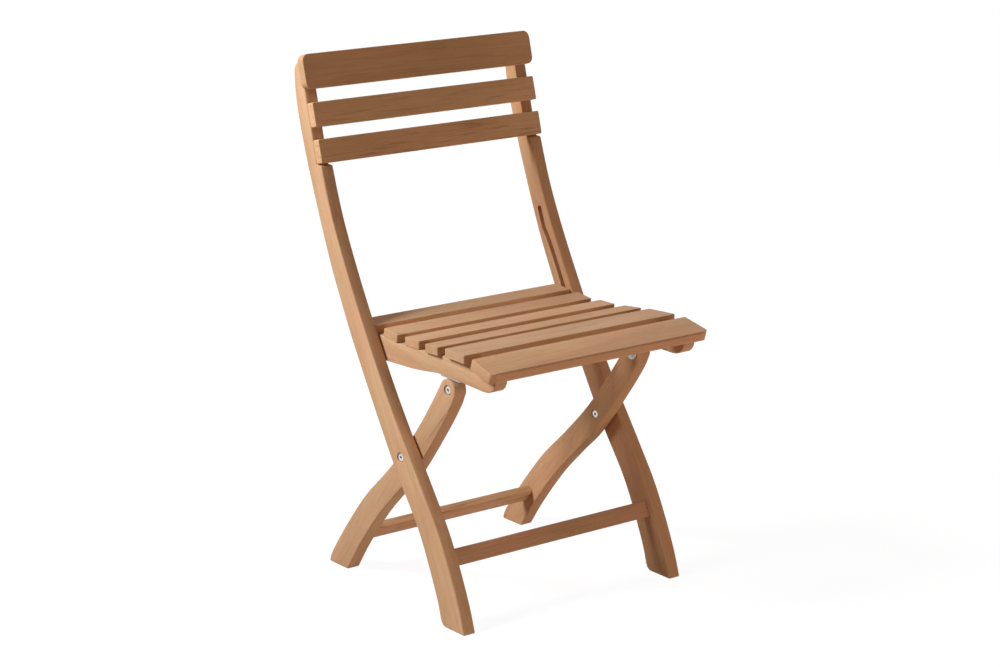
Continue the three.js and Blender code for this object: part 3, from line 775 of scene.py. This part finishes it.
class SlatTree(TreeKit):
    """A board from its sizes, with a plan radius at its corners and flared ends."""

    CORNER_POINTS = 7

    def __init__(self) -> None:
        """Builds the tree."""
        names = ("Length", "Flare", "Width", "Thickness", "Corner Radius")
        kinds = {**dict.fromkeys(names, "Float"), "Place": "Vector", "Turn": "Vector"}
        super().__init__("slat", kinds)
        graph, given = self.graph, self.given
        length, flare, thickness = given["Length"], given["Flare"], given["Thickness"]
        values = {
            "Bottom Width": graph.math("ADD", length, flare),
            "Top Width": graph.math("SUBTRACT", length, flare),
            "Offset": 0.0,
            "Height": given["Width"],
        }
        plan = self.step("CurvePrimitiveQuadrilateral", values, mode="TRAPEZOID")
        radius = given["Corner Radius"]
        values = {"Curve": plan, "Radius": radius, "Count": self.CORNER_POINTS}
        corners = self.step("FilletCurve", values, mode="POLY")
        filled = self.step("FillCurve", {0: corners}, mode="NGONS")
        low = self.lifted(filled, graph.math("MULTIPLY", thickness, -1.0))
        values = {"Mesh": low, "Offset Scale": thickness, "Individual": False}
        raised = self.step("ExtrudeMesh", values, mode="FACES")
        under = self.step("FlipFaces", {0: low})
        shell = self.step("JoinGeometry", {0: [raised, under]})
        solid = self.step("MergeByDistance", {"Geometry": shell, "Distance": WELD})
        values = {"Geometry": solid, "Translation": given["Place"], "Rotation": given["Turn"]}
        self.close(self.step("Transform", values))


class FastenerTree(TreeKit):
    """A head, a shank and a prism socket, set on each point of a carrier along its aim."""

    HEAD_SIDES = 32
    SHANK_SIDES = 20
    LAP = 0.0004  # how far one rod reaches into or past another
    BORE_START = -0.2  # in head heights along the shank

    def __init__(self) -> None:
        """Builds the tree."""
        names = ("Head Radius", "Head Height", "Shank Radius", "Shank Length", "Socket Radius")
        kinds = dict.fromkeys((*names, "Socket Depth", "Bore Radius"), "Float")
        super().__init__("fastener", {**kinds, "Socket Sides": "Int"})
        graph, given = self.graph, self.given
        height, shank_end, bore_radius = (
            given[name] for name in ("Head Height", "Shank Length", "Bore Radius")
        )
        back = graph.math("MULTIPLY", height, -1.0)
        head = self.rod(given["Head Radius"], back, 0.0, self.HEAD_SIDES)
        shank = self.rod(given["Shank Radius"], -self.LAP, shank_end, self.SHANK_SIDES)
        solid = self.boolean("UNION", {"Mesh 2": [head, shank]})
        outside = graph.math("SUBTRACT", back, self.LAP)
        floor = graph.math("ADD", back, given["Socket Depth"])
        socket = self.rod(given["Socket Radius"], outside, floor, given["Socket Sides"])
        solid = self.boolean("DIFFERENCE", {"Mesh 1": solid, "Mesh 2": socket})
        start = graph.math("MULTIPLY", height, self.BORE_START)
        past = graph.math("ADD", shank_end, self.LAP)
        bore = self.rod(bore_radius, start, past, self.SHANK_SIDES)
        bored = self.boolean("DIFFERENCE", {"Mesh 1": solid, "Mesh 2": bore})
        settings = {"operation": "GREATER_THAN"}
        has_bore = graph.add("FunctionNodeCompare", settings, {0: bore_radius, 1: 0.0}).outputs[0]
        chosen = self.step("Switch", {0: has_bore, 1: solid, 2: bored}, input_type="GEOMETRY")
        aim = self.step("InputNamedAttribute", {"Name": "aim"}, data_type="FLOAT_VECTOR")
        turn = graph.add("FunctionNodeAlignRotationToVector", {"axis": "Z"}, {"Vector": aim})
        values = {"Points": given["Geometry"], "Instance": chosen, "Rotation": turn.outputs[0]}
        self.close(self.step("InstanceOnPoints", values))

    def rod(self, radius: Socket, start: object, end: object, sides: object) -> Socket:
        """Adds a rod or a prism along Z.

        Args:
            radius: Its radius.
            start: Where it starts on Z.
            end: Where it ends on Z.
            sides: The number of its sides.

        Returns:
            The rod's mesh.
        """
        depth = self.graph.math("SUBTRACT", end, start)
        values = {"Vertices": sides, "Radius Top": radius, "Radius Bottom": radius, "Depth": depth}
        return self.lifted(self.step("MeshCone", values), start)

    def boolean(self, operation: str, inputs: Inputs) -> Socket:
        """Adds an exact boolean, UNION or DIFFERENCE."""
        return self.step("MeshBoolean", inputs, operation=operation, solver="EXACT")


METAL_SEGMENTS = 2
FASTENER_SHARP = math.radians(48)
SOCKET_REACH = 1.1  # in socket radii
METAL_RIM = 0.0005
WASHER_RIM = 0.0003


@dataclass(frozen=True)
class Fastener:
    """The sizes of one kind of screw, bolt or nut, named as the tree's inputs, and its rims."""

    head_radius: float
    head_height: float
    shank_radius: float
    shank_length: float
    socket_radius: float
    socket_depth: float
    socket_sides: int
    bore_radius: float = 0.0
    rim: float = 0.0004

    def mesh(self, tree: FastenerTree, name: str, places: list[Place]) -> Mesh:
        """Makes one mesh of this fastener at several places.

        Args:
            tree: The fastener tree.
            name: The name of the mesh.
            places: Where each one goes.

        Returns:
            The mesh, in place.
        """
        carrier = bpy.data.meshes.new(f"{name}_points")
        carrier.from_pydata([tuple(at) for at, _ in places], [], [])
        layer = carrier.attributes.new("aim", "FLOAT_VECTOR", "POINT")
        layer.data.foreach_set("vector", [value for _, aim in places for value in aim])
        made = tree.run(carrier, name, {**vars(self), "material": ZINC.material()})
        softener = Softener(self.rim, segments=METAL_SEGMENTS, sharp_angle=FASTENER_SHARP)
        rounded = softener.round_off(made, name)
        self.mark_painted_socket_shade(rounded, places)
        return rounded

    def mark_painted_socket_shade(self, mesh: Mesh, places: list[Place]) -> None:
        """Stores 1 on the points down in a socket, where shade is painted, and 0 on all others.

        Args:
            mesh: The finished mesh.
            places: Where each one goes.
        """
        sunk = [0.0] * len(mesh.vertices)
        reach = self.socket_radius * SOCKET_REACH
        for vert in mesh.vertices:
            for at, aim in places:
                offset = vert.co - at
                depth = offset.dot(aim) + self.head_height
                aside = (offset - aim * offset.dot(aim)).length
                if aside < reach and self.rim < depth < self.head_height:
                    sunk[vert.index] = 1.0
        mesh.attributes.new(PAINTED_SOCKET_SHADE, "FLOAT", "POINT").data.foreach_set("value", sunk)


WOOD_SCREW_SHORT = Fastener(0.0038, 0.0026, 0.002, 0.0187, 0.0017, 0.0014, 4)
WOOD_SCREW_LONG = Fastener(0.0038, 0.0026, 0.002, 0.0227, 0.0017, 0.0014, 4)
BRACKET_SCREW = Fastener(0.0038, 0.0006, 0.002, 0.0134, 0.0015, 0.0005, 4, rim=0.0001)
PIVOT_BOLT = Fastener(0.0065, 0.0034, 0.003, 0.0435, 0.0023, 0.0024, 6)
CROSS_NUT = Fastener(0.0065, 0.0034, 0.004, 0.0423, 0.0023, 0.0024, 6, 0.0033)
SEAT_BOLT = Fastener(0.0065, 0.0034, 0.003, 0.018, 0.0023, 0.0024, 6)
SEAT_NUT = Fastener(0.0065, 0.0034, 0.004, 0.0226, 0.0023, 0.0024, 6, 0.0033)


@dataclass(frozen=True)
class Slat:
    """A slat: its show face's middle in the side drawing, its tilt in degrees, and its sizes.

    The sizes are named as the tree's inputs.
    """

    name: str
    middle: Pair
    tilt: float
    width: float
    length: float
    corner_radius: float
    thickness: float
    edge: float
    grain: Grain
    flare: float = 0.0

    def facing(self) -> Vector:
        """Returns the direction that the show face looks in."""
        turn = math.radians(self.tilt)
        return Vector((0.0, -math.sin(turn), math.cos(turn)))

    def board(self) -> Board:
        """Returns the board that the slat is cut from."""
        return Board(at_side(self.middle), ACROSS, self.facing(), self.grain)


@dataclass(frozen=True)
class Stretcher:
    """A stretcher: its middle in the side drawing, how far its face leans back, and its grain."""

    name: str
    middle: Pair
    lean: float
    grain: Grain
    edge: float = 0.0018


@dataclass
class Joiner:
    """What every sub-assembly shares: its body, its trees, and the ways its pieces are dressed."""

    body: str
    slat_tree: SlatTree
    fastener_tree: FastenerTree

    def show(self, mesh: Mesh, name: str, nodes: list[str], material: Material) -> None:
        """Adds a finished piece to the chair.

        Args:
            mesh: The piece's mesh, in place.
            name: Its name.
            nodes: The solids that it replaces.
            material: Its finish.
        """
        mesh.materials.clear()
        mesh.materials.append(material)
        piece = put(name, mesh)
        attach(piece, self.body)
        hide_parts(*nodes)
        log.info("%s: %d faces on %s", name, len(mesh.polygons), self.body)

    def shaped(self, node: str, board: Board, easing: Easing, radius: float) -> None:
        """Dresses a solid that was sawn to shape, with its edges eased.

        Args:
            node: The solid's name.
            board: The board that it is cut from.
            easing: Which edges take the large radius.
            radius: The large radius.
        """
        softener = Softener(radius)
        mesh = softener.merged(node)
        softener.weigh(mesh, easing, board.face.normalized())
        rounded = softener.round_off(mesh, node, by_weight=True)
        self.show(rounded, node, [node], TEAK.material(node, board))

    def pair(self, kind: str, right: Placing, grains: Grains, radius: float) -> None:
        """Dresses the left and the right one of a pair of boards.

        Args:
            kind: What one is called.
            right: How the right one lies.
            grains: Their grain.
            radius: The large radius of their outlines.
        """
        for (side, sign), grain in zip(SIDES.items(), grains, strict=True):
            mirror = Matrix.Diagonal((sign, 1.0, 1.0))
            board = Board(*(mirror @ vector for vector in right), grain)
            self.shaped(f"{side}_{kind}", board, Easing.OUTLINE, radius)

    def stretcher(self, bar: Stretcher) -> None:
        """Dresses a stretcher."""
        board = Board(at_side(bar.middle), ACROSS, leaning(bar.lean), bar.grain)
        self.shaped(bar.name, board, Easing.LONG, bar.edge)

    def slat(self, slat: Slat) -> None:
        """Makes a plain slat.

        Args:
            slat: Its place and sizes.
        """
        material = TEAK.material(slat.name, slat.board())
        values = {
            **vars(slat),
            "place": tuple(at_side(slat.middle)),
            "turn": (math.radians(slat.tilt), 0.0, 0.0),
            "material": material,
        }
        made = self.slat_tree.run(bpy.data.meshes.new(f"{slat.name}_start"), slat.name, values)
        rounded = Softener(slat.edge).round_off(made, slat.name)
        self.show(rounded, slat.name, [slat.name], material)

    def metal(self, node: str, radius: float, finish: Zinc = ZINC) -> None:
        """Dresses a metal solid, with its rims broken.

        Args:
            node: The solid's name.
            radius: The radius of its rims.
            finish: Its finish.
        """
        softener = Softener(radius, segments=METAL_SEGMENTS)
        rounded = softener.round_off(softener.merged(node), node)
        self.show(rounded, node, [node], finish.material())

    def fasten(self, kind: str, sizes: Fastener, right: list[Place]) -> None:
        """Sets one kind of fastener in both sides of the chair, as one piece.

        Args:
            kind: What one is called in its solids' names.
            sizes: Its sizes.
            right: Where each one goes on the right side.
        """
        places, nodes = [], []
        for side, sign in SIDES.items():
            mirror = Matrix.Diagonal((sign, 1.0, 1.0))
            for number, (at, aim) in enumerate(right, 1):
                places.append((mirror @ at, mirror @ aim))
                nodes.append(f"{side}_{kind}" if len(right) == 1 else f"{side}_{kind}_{number}")
        mesh = sizes.mesh(self.fastener_tree, f"{kind}s", places)
        self.show(mesh, f"{kind}s", nodes, ZINC.material())


@dataclass
class BackFrame(Joiner):
    """Two uprights, three back slats, a stretcher, and their screws and pivot bolts."""

    upright_outer: float = 0.236
    upright_thick: float = 0.024
    upright_middle: Pair = (0.02, 0.4)
    upright_edge: float = 0.0022
    upright_grain: Grains = (Grain(Cut.FLAT, Tone.STRAW, 11), Grain(Cut.RIFT, Tone.TAWNY, 12))
    foot: Pair = (-0.175, 0.0)
    head: Pair = (0.262, 0.84)
    corner: Pair = (0.2016, 0.6894)
    lean: float = 17.35
    slat_thick: float = 0.015
    slat_edge: float = 0.0013
    screw_depth: float = 0.009
    screw_heights: tuple[float, ...] = (0.01975, 0.07975, 0.13625, 0.15734)
    bar: Stretcher = Stretcher(
        "front_stretcher", (-0.1273, 0.1052), 25.0, Grain(Cut.RIFT, Tone.UMBER, 31)
    )

    def on_back(self, along: float, behind: float = 0.0) -> Pair:
        """Finds a point of the sloping back.

        Args:
            along: Its distance up the back from the notch's lower corner.
            behind: Its depth behind the slats' faces.

        Returns:
            The side drawing point.
        """
        turn = math.radians(self.lean)
        run, rise = math.sin(turn), math.cos(turn)
        y, z = self.corner
        return y + run * along + rise * behind, z + rise * along - run * behind

    def build_uprights(self) -> None:
        """Dresses both uprights."""
        middle = at_side(self.upright_middle, self.upright_outer - self.upright_thick / 2)
        along = at_side(self.head) - at_side(self.foot)
        self.pair("upright", (middle, along, ACROSS), self.upright_grain, self.upright_edge)

    def build_slats(self) -> None:
        """Makes the three back slats, each from its start on the back, its sizes and its grain."""
        tilt = 90.0 - self.lean
        thick, edge = self.slat_thick, self.slat_edge
        rows = (
            # the lower two slats' pale tone is partly painted light on their shaded faces
            ("lower", 0.0, 0.0395, 0.472, 0.0026, Grain(Cut.FLAT, Tone.PALE, 21, 0.6)),
            ("middle", 0.0595, 0.0405, 0.472, 0.0026, Grain(Cut.RIFT, Tone.PALE, 22, 0.35)),
            ("top", 0.122, 0.057, 0.4836, 0.012, Grain(Cut.FLAT, Tone.HONEY, 23, 0.2)),
        )
        for name, start, width, length, corner, grain in rows:
            middle = self.on_back(start + width / 2)
            name = f"{name}_back_slat"
            self.slat(Slat(name, middle, tilt, width, length, corner, thick, edge, grain))

    def build_hardware(self) -> None:
        """Sets the back screws and the pivot bolts."""
        aim = leaning(self.lean)
        depth = self.slat_thick + self.screw_depth
        x = self.upright_outer - self.upright_thick / 2
        screws = [(at_side(self.on_back(up, depth), x), aim) for up in self.screw_heights]
        self.fasten("back_screw", WOOD_SCREW_SHORT, screws)
        seat = self.upright_outer - COUNTERBORE + GAP
        self.fasten("pivot_bolt", PIVOT_BOLT, [(at_side(CROSS_PIVOT, seat), INWARD)])

    def build(self) -> None:
        """Builds the whole back frame."""
        self.build_uprights()
        self.build_slats()
        self.stretcher(self.bar)
        self.build_hardware()


@dataclass
class LegFrame(Joiner):
    """Two crossing legs, their stretcher, and the nuts, washers and bolts of the pivots."""

    leg_outer: float = 0.2085
    leg_thick: float = 0.025
    leg_splay: float = 0.018
    leg_middle: Pair = (0.035, 0.19)
    leg_edge: float = 0.0022
    leg_grain: Grains = (Grain(Cut.RIFT, Tone.GREY, 41), Grain(Cut.FLAT, Tone.TAWNY, 42))
    foot: Pair = (0.175, 0.0)
    bar: Stretcher = Stretcher(
        "rear_stretcher", (0.1385, 0.0643), -38.0, Grain(Cut.FLAT, Tone.HONEY, 51, 0.7)
    )
    tab_gap: float = 0.0006

    def build_legs(self) -> None:
        """Dresses both legs."""
        middle = at_side(self.leg_middle, self.leg_outer - self.leg_thick / 2)
        along = at_side(SEAT_PIVOT) - at_side(self.foot)
        face = Vector((1.0, 0.0, -self.leg_splay))
        self.pair("leg", (middle, along, face), self.leg_grain, self.leg_edge)

    def build_hardware(self) -> None:
        """Sets the nuts, the washers and the seat bolts."""
        inner = self.leg_outer - self.leg_thick
        spread = self.leg_splay * (SEAT_PIVOT[1] - CROSS_PIVOT[1])
        x = inner + COUNTERBORE - GAP
        self.fasten("pivot_nut", CROSS_NUT, [(at_side(CROSS_PIVOT, x), ACROSS)])
        x = self.leg_outer + spread - COUNTERBORE + GAP
        self.fasten("seat_bolt", SEAT_BOLT, [(at_side(SEAT_PIVOT, x), INWARD)])
        x = inner + spread - self.tab_gap - BRACKET_THICK - GAP
        self.fasten("seat_nut", SEAT_NUT, [(at_side(SEAT_PIVOT, x), ACROSS)])
        for side in SIDES:
            self.metal(f"{side}_pivot_washer", WASHER_RIM)

    def build(self) -> None:
        """Builds the whole leg frame."""
        self.build_legs()
        self.stretcher(self.bar)
        self.build_hardware()


@dataclass
class SeatFrame(Joiner):
    """Two seat rails, six seat slats, and their brackets, slide pins and screws."""

    rail_outer: float = 0.2113
    rail_thick: float = 0.025
    rail_splay: float = 0.0169
    rail_rise: float = 0.02
    rail_level: float = 0.4015
    rail_point: Pair = (-0.05, 0.415)
    rail_edge: float = 0.0014
    rail_grain: Grains = (Grain(Cut.FLAT, Tone.STRAW, 71), Grain(Cut.FLAT, Tone.STRAW, 72))
    slat_thick: float = 0.014
    nose_thick: float = 0.0184
    slat_corner: float = 0.002
    slat_edge: float = 0.001
    screw_seat: float = 0.013
    bracket_screws: Pair = (-0.021, 0.012)

    def slats(self) -> list[Slat]:
        """Lists the seat slats.

        Returns:
            The slats, from the rear forward. The last is the thicker nose.
        """
        rows = (  # middle, tilt, width, length, flare, grain
            # the rear slat's pale tone is partly painted light on it
            ((0.1013, 0.443), 4.8, 0.0355, 0.4196, 0.0, Grain(Cut.RIFT, Tone.PALE, 61, 0.3)),
            ((0.045, 0.4403), 5.4, 0.0355, 0.4196, 0.0, Grain(Cut.FLAT, Tone.HONEY, 62, 0.2)),
            ((-0.0111, 0.4414), -2.0, 0.0365, 0.422, 0.0, Grain(Cut.RIFT, Tone.HONEY, 63, 0.3)),
            ((-0.0675, 0.4452), -5.3, 0.0365, 0.4346, 0.0042, Grain(Cut.FLAT, Tone.TAWNY, 64, 0.3)),
            ((-0.132, 0.4513), -2.7, 0.055, 0.446, 0.0062, Grain(Cut.FLAT, Tone.GREY, 65, 0.25)),
            ((-0.209, 0.4464), 12.8, 0.0575, 0.4594, 0.0036, Grain(Cut.RIFT, Tone.HONEY, 66, 0.2)),
        )
        corner, edge = self.slat_corner, self.slat_edge
        made = []
        for number, (middle, tilt, width, length, flare, grain) in enumerate(rows, 1):
            thick = self.nose_thick if number == len(rows) else self.slat_thick
            name = f"seat_slat_{number}"
            sizes = (width, length, corner, thick, edge)
            made.append(Slat(name, middle, tilt, *sizes, grain, flare))
        return made

    def rail_middle(self, y: float) -> float:
        """Returns how far out the middle of the rails lies at a place of the side drawing."""
        return self.rail_outer - self.rail_thick / 2 + self.rail_splay * (SEAT_PIVOT[0] - y)

    def build_rails(self) -> None:
        """Dresses both seat rails."""
        middle = at_side(self.rail_point, self.rail_middle(self.rail_point[0]))
        along = Vector((-self.rail_splay, 1.0, self.rail_rise))
        face = Vector((1.0, self.rail_splay, 0.0))
        self.pair("seat_rail", (middle, along, face), self.rail_grain, self.rail_edge)

    def build_hardware(self) -> None:
        """Sets the brackets, the slide pins and the screws."""
        screws = []
        for slat in self.slats():
            aim = slat.facing()
            drop = slat.thickness + self.screw_seat
            top = at_side(slat.middle, self.rail_middle(slat.middle[0]))
            screws.append((top - aim * drop, aim))
        self.fasten("seat_screw", WOOD_SCREW_LONG, screws)
        for side in SIDES:
            self.metal(f"{side}_seat_bracket", METAL_RIM, ZINC_STRIP)
            self.metal(f"{side}_slide_pin", METAL_RIM)
        z = self.rail_level - GAP - BRACKET_THICK + BRACKET_SCREW.head_height
        y, x = SEAT_PIVOT[0], self.rail_middle(SEAT_PIVOT[0])
        screws = [(at_side((y + along, z), x), UP) for along in self.bracket_screws]
        self.fasten("bracket_screw", BRACKET_SCREW, screws)

    def build(self) -> None:
        """Builds the whole seat."""
        self.build_rails()
        *plain, nose = self.slats()
        for slat in plain:
            self.slat(slat)
        self.shaped(nose.name, nose.board(), Easing.ALL, nose.edge)
        self.build_hardware()


@dataclass(frozen=True)
class Lamp:
    """One area lamp: where it stands, how large it is and what it gives."""

    name: str
    azimuth: float
    elevation: float
    distance: float
    size: float
    power: float
    colour: Colour

    def add(self, target: Vector) -> None:
        """Adds the lamp.

        Args:
            target: The point that it is aimed at.
        """
        back = heading(self.azimuth, self.elevation)
        data = bpy.data.lights.new(self.name, "AREA")
        data.shape = "DISK"
        data.size = self.size
        data.energy = self.power
        data.color = self.colour
        lamp = put(self.name, data)
        lamp.location = target + back * self.distance
        lamp.rotation_euler = back.to_track_quat("Z", "Y").to_euler()


@dataclass(frozen=True)
class Studio:
    """The camera at the photograph's place, a pale floor, soft lamps and an even sky."""

    azimuth: float = -40.803
    elevation: float = 15.751
    roll: float = 2.193
    distance: float = 4.63982
    target: Triple = (-0.034225, -0.020813 - DRAWING_SHIFT, 0.425738)
    lens: float = 102.44
    sensor: float = 36.0
    sight: float = 50.0
    sky: Colour = (0.165, 0.107, 0.071)
    sky_seen: Colour = (1.0, 1.0, 1.0)
    floor_half: float = 14.0
    floor_squares: int = 8
    floor_seen: Colour = (0.96, 0.96, 0.96)
    floor_bounce: Colour = (0.39, 0.272, 0.186)
    glow: Colour = (1.115, 1.12, 1.13)
    glow_share: float = 0.84
    glow_line: Pair = (0.012, 0.992)  # per metre from the chair, and at the chair
    glow_most: float = 1.06
    lit_point: Triple = (0.0, 0.0, 0.45)
    lamps: tuple[Lamp, ...] = (
        Lamp("key", -111.0, 36.0, 3.2, 1.1, 113.0, (0.985, 0.956, 0.945)),
        Lamp("fill", 8.0, 8.0, 3.5, 1.2, 15.0, (1.0, 0.75, 0.58)),
        Lamp("right_fill", 100.0, 12.0, 3.5, 1.4, 20.0, (1.0, 0.80, 0.64)),
        Lamp("reflector", 12.0, -40.0, 2.5, 1.2, 14.5, (1.0, 0.77, 0.65)),
    )

    def add_camera(self) -> None:
        """Adds the camera and makes it the scene's."""
        back = heading(self.azimuth, self.elevation)
        right = (-back).cross(UP).normalized()
        upright = Matrix((right, back.cross(right), back)).transposed()
        axes = upright @ Matrix.Rotation(math.radians(self.roll), 3, "Z")
        data = bpy.data.cameras.new("camera")
        data.lens = self.lens
        data.sensor_width = self.sensor
        data.clip_end = self.sight
        camera = put("camera", data)
        place = Vector(self.target) + back * self.distance
        camera.matrix_world = Matrix.Translation(place) @ axes.to_4x4()
        bpy.context.scene.camera = camera

    def seen(self, graph: Graph) -> Socket:
        """Adds a test for rays that show the background.

        Args:
            graph: The tree.

        Returns:
            1 for camera, glossy and transmission rays, and 0 for all others.
        """
        path = graph.add("ShaderNodeLightPath").outputs
        mirrored = graph.math("MAXIMUM", path["Is Glossy Ray"], path["Is Transmission Ray"])
        return graph.math("MAXIMUM", path["Is Camera Ray"], mirrored)

    def add_floor(self) -> None:
        """Adds the floor, white to the eye and a warm grey to the light that bounces off it.

        The reflector below it stands in for the light that a white floor throws back, so the floor
        casts no shadow of its own.
        """
        shape = bmesh.new()
        squares = self.floor_squares
        bmesh.ops.create_grid(shape, x_segments=squares, y_segments=squares, size=self.floor_half)
        mesh = bpy.data.meshes.new("floor")
        shape.to_mesh(mesh)
        shape.free()
        floor = put("floor", mesh)
        floor.visible_shadow = False
        made, graph = new_material("floor")
        made.node_tree.nodes.remove(made.node_tree.nodes["Principled BSDF"])
        seen = self.seen(graph)
        colour = graph.tint("MIX", seen, self.floor_bounce, self.floor_seen)
        matte = graph.add("ShaderNodeBsdfDiffuse", None, {"Color": colour})
        where = graph.add("ShaderNodeTexCoord").outputs["Object"]
        reach = graph.vector("LENGTH", where).outputs["Value"]
        far = graph.math("MINIMUM", graph.line(reach, *self.glow_line), self.glow_most)
        glow = graph.add("ShaderNodeEmission", None, {"Color": self.glow, "Strength": far})
        share = graph.math("MULTIPLY", seen, self.glow_share)
        values = {0: share, 1: matte.outputs[0], 2: glow.outputs[0]}
        mix = graph.add("ShaderNodeMixShader", None, values)
        graph.feed(made.node_tree.nodes["Material Output"], {"Surface": mix.outputs[0]})
        mesh.materials.append(made)

    def add_sky(self) -> None:
        """Sets the even light all round, white where it is seen."""
        world = bpy.data.worlds.new("sky")
        world.use_nodes = True
        bpy.context.scene.world = world
        graph = Graph(world.node_tree)
        colour = graph.tint("MIX", self.seen(graph), self.sky, self.sky_seen)
        graph.feed(world.node_tree.nodes["Background"], {"Color": colour, "Strength": 1.0})

    def build(self) -> None:
        """Builds the whole studio."""
        self.add_camera()
        self.add_floor()
        self.add_sky()
        for lamp in self.lamps:
            lamp.add(Vector(self.lit_point))
        bpy.context.scene.view_settings.view_transform = "Standard"


def write_sizes() -> None:
    """Brings every object's placement up to date."""
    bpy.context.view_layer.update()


def main() -> None:
    """Builds the studio and the three sub-assemblies in order."""
    logging.basicConfig(level=logging.INFO, format="%(name)s: %(message)s")
    Studio().build()
    trees = SlatTree(), FastenerTree()
    BackFrame("back_frame", *trees).build()
    LegFrame("leg_frame", *trees).build()
    SeatFrame("seat", *trees).build()
    write_sizes()


if __name__ == "__main__":
    main()
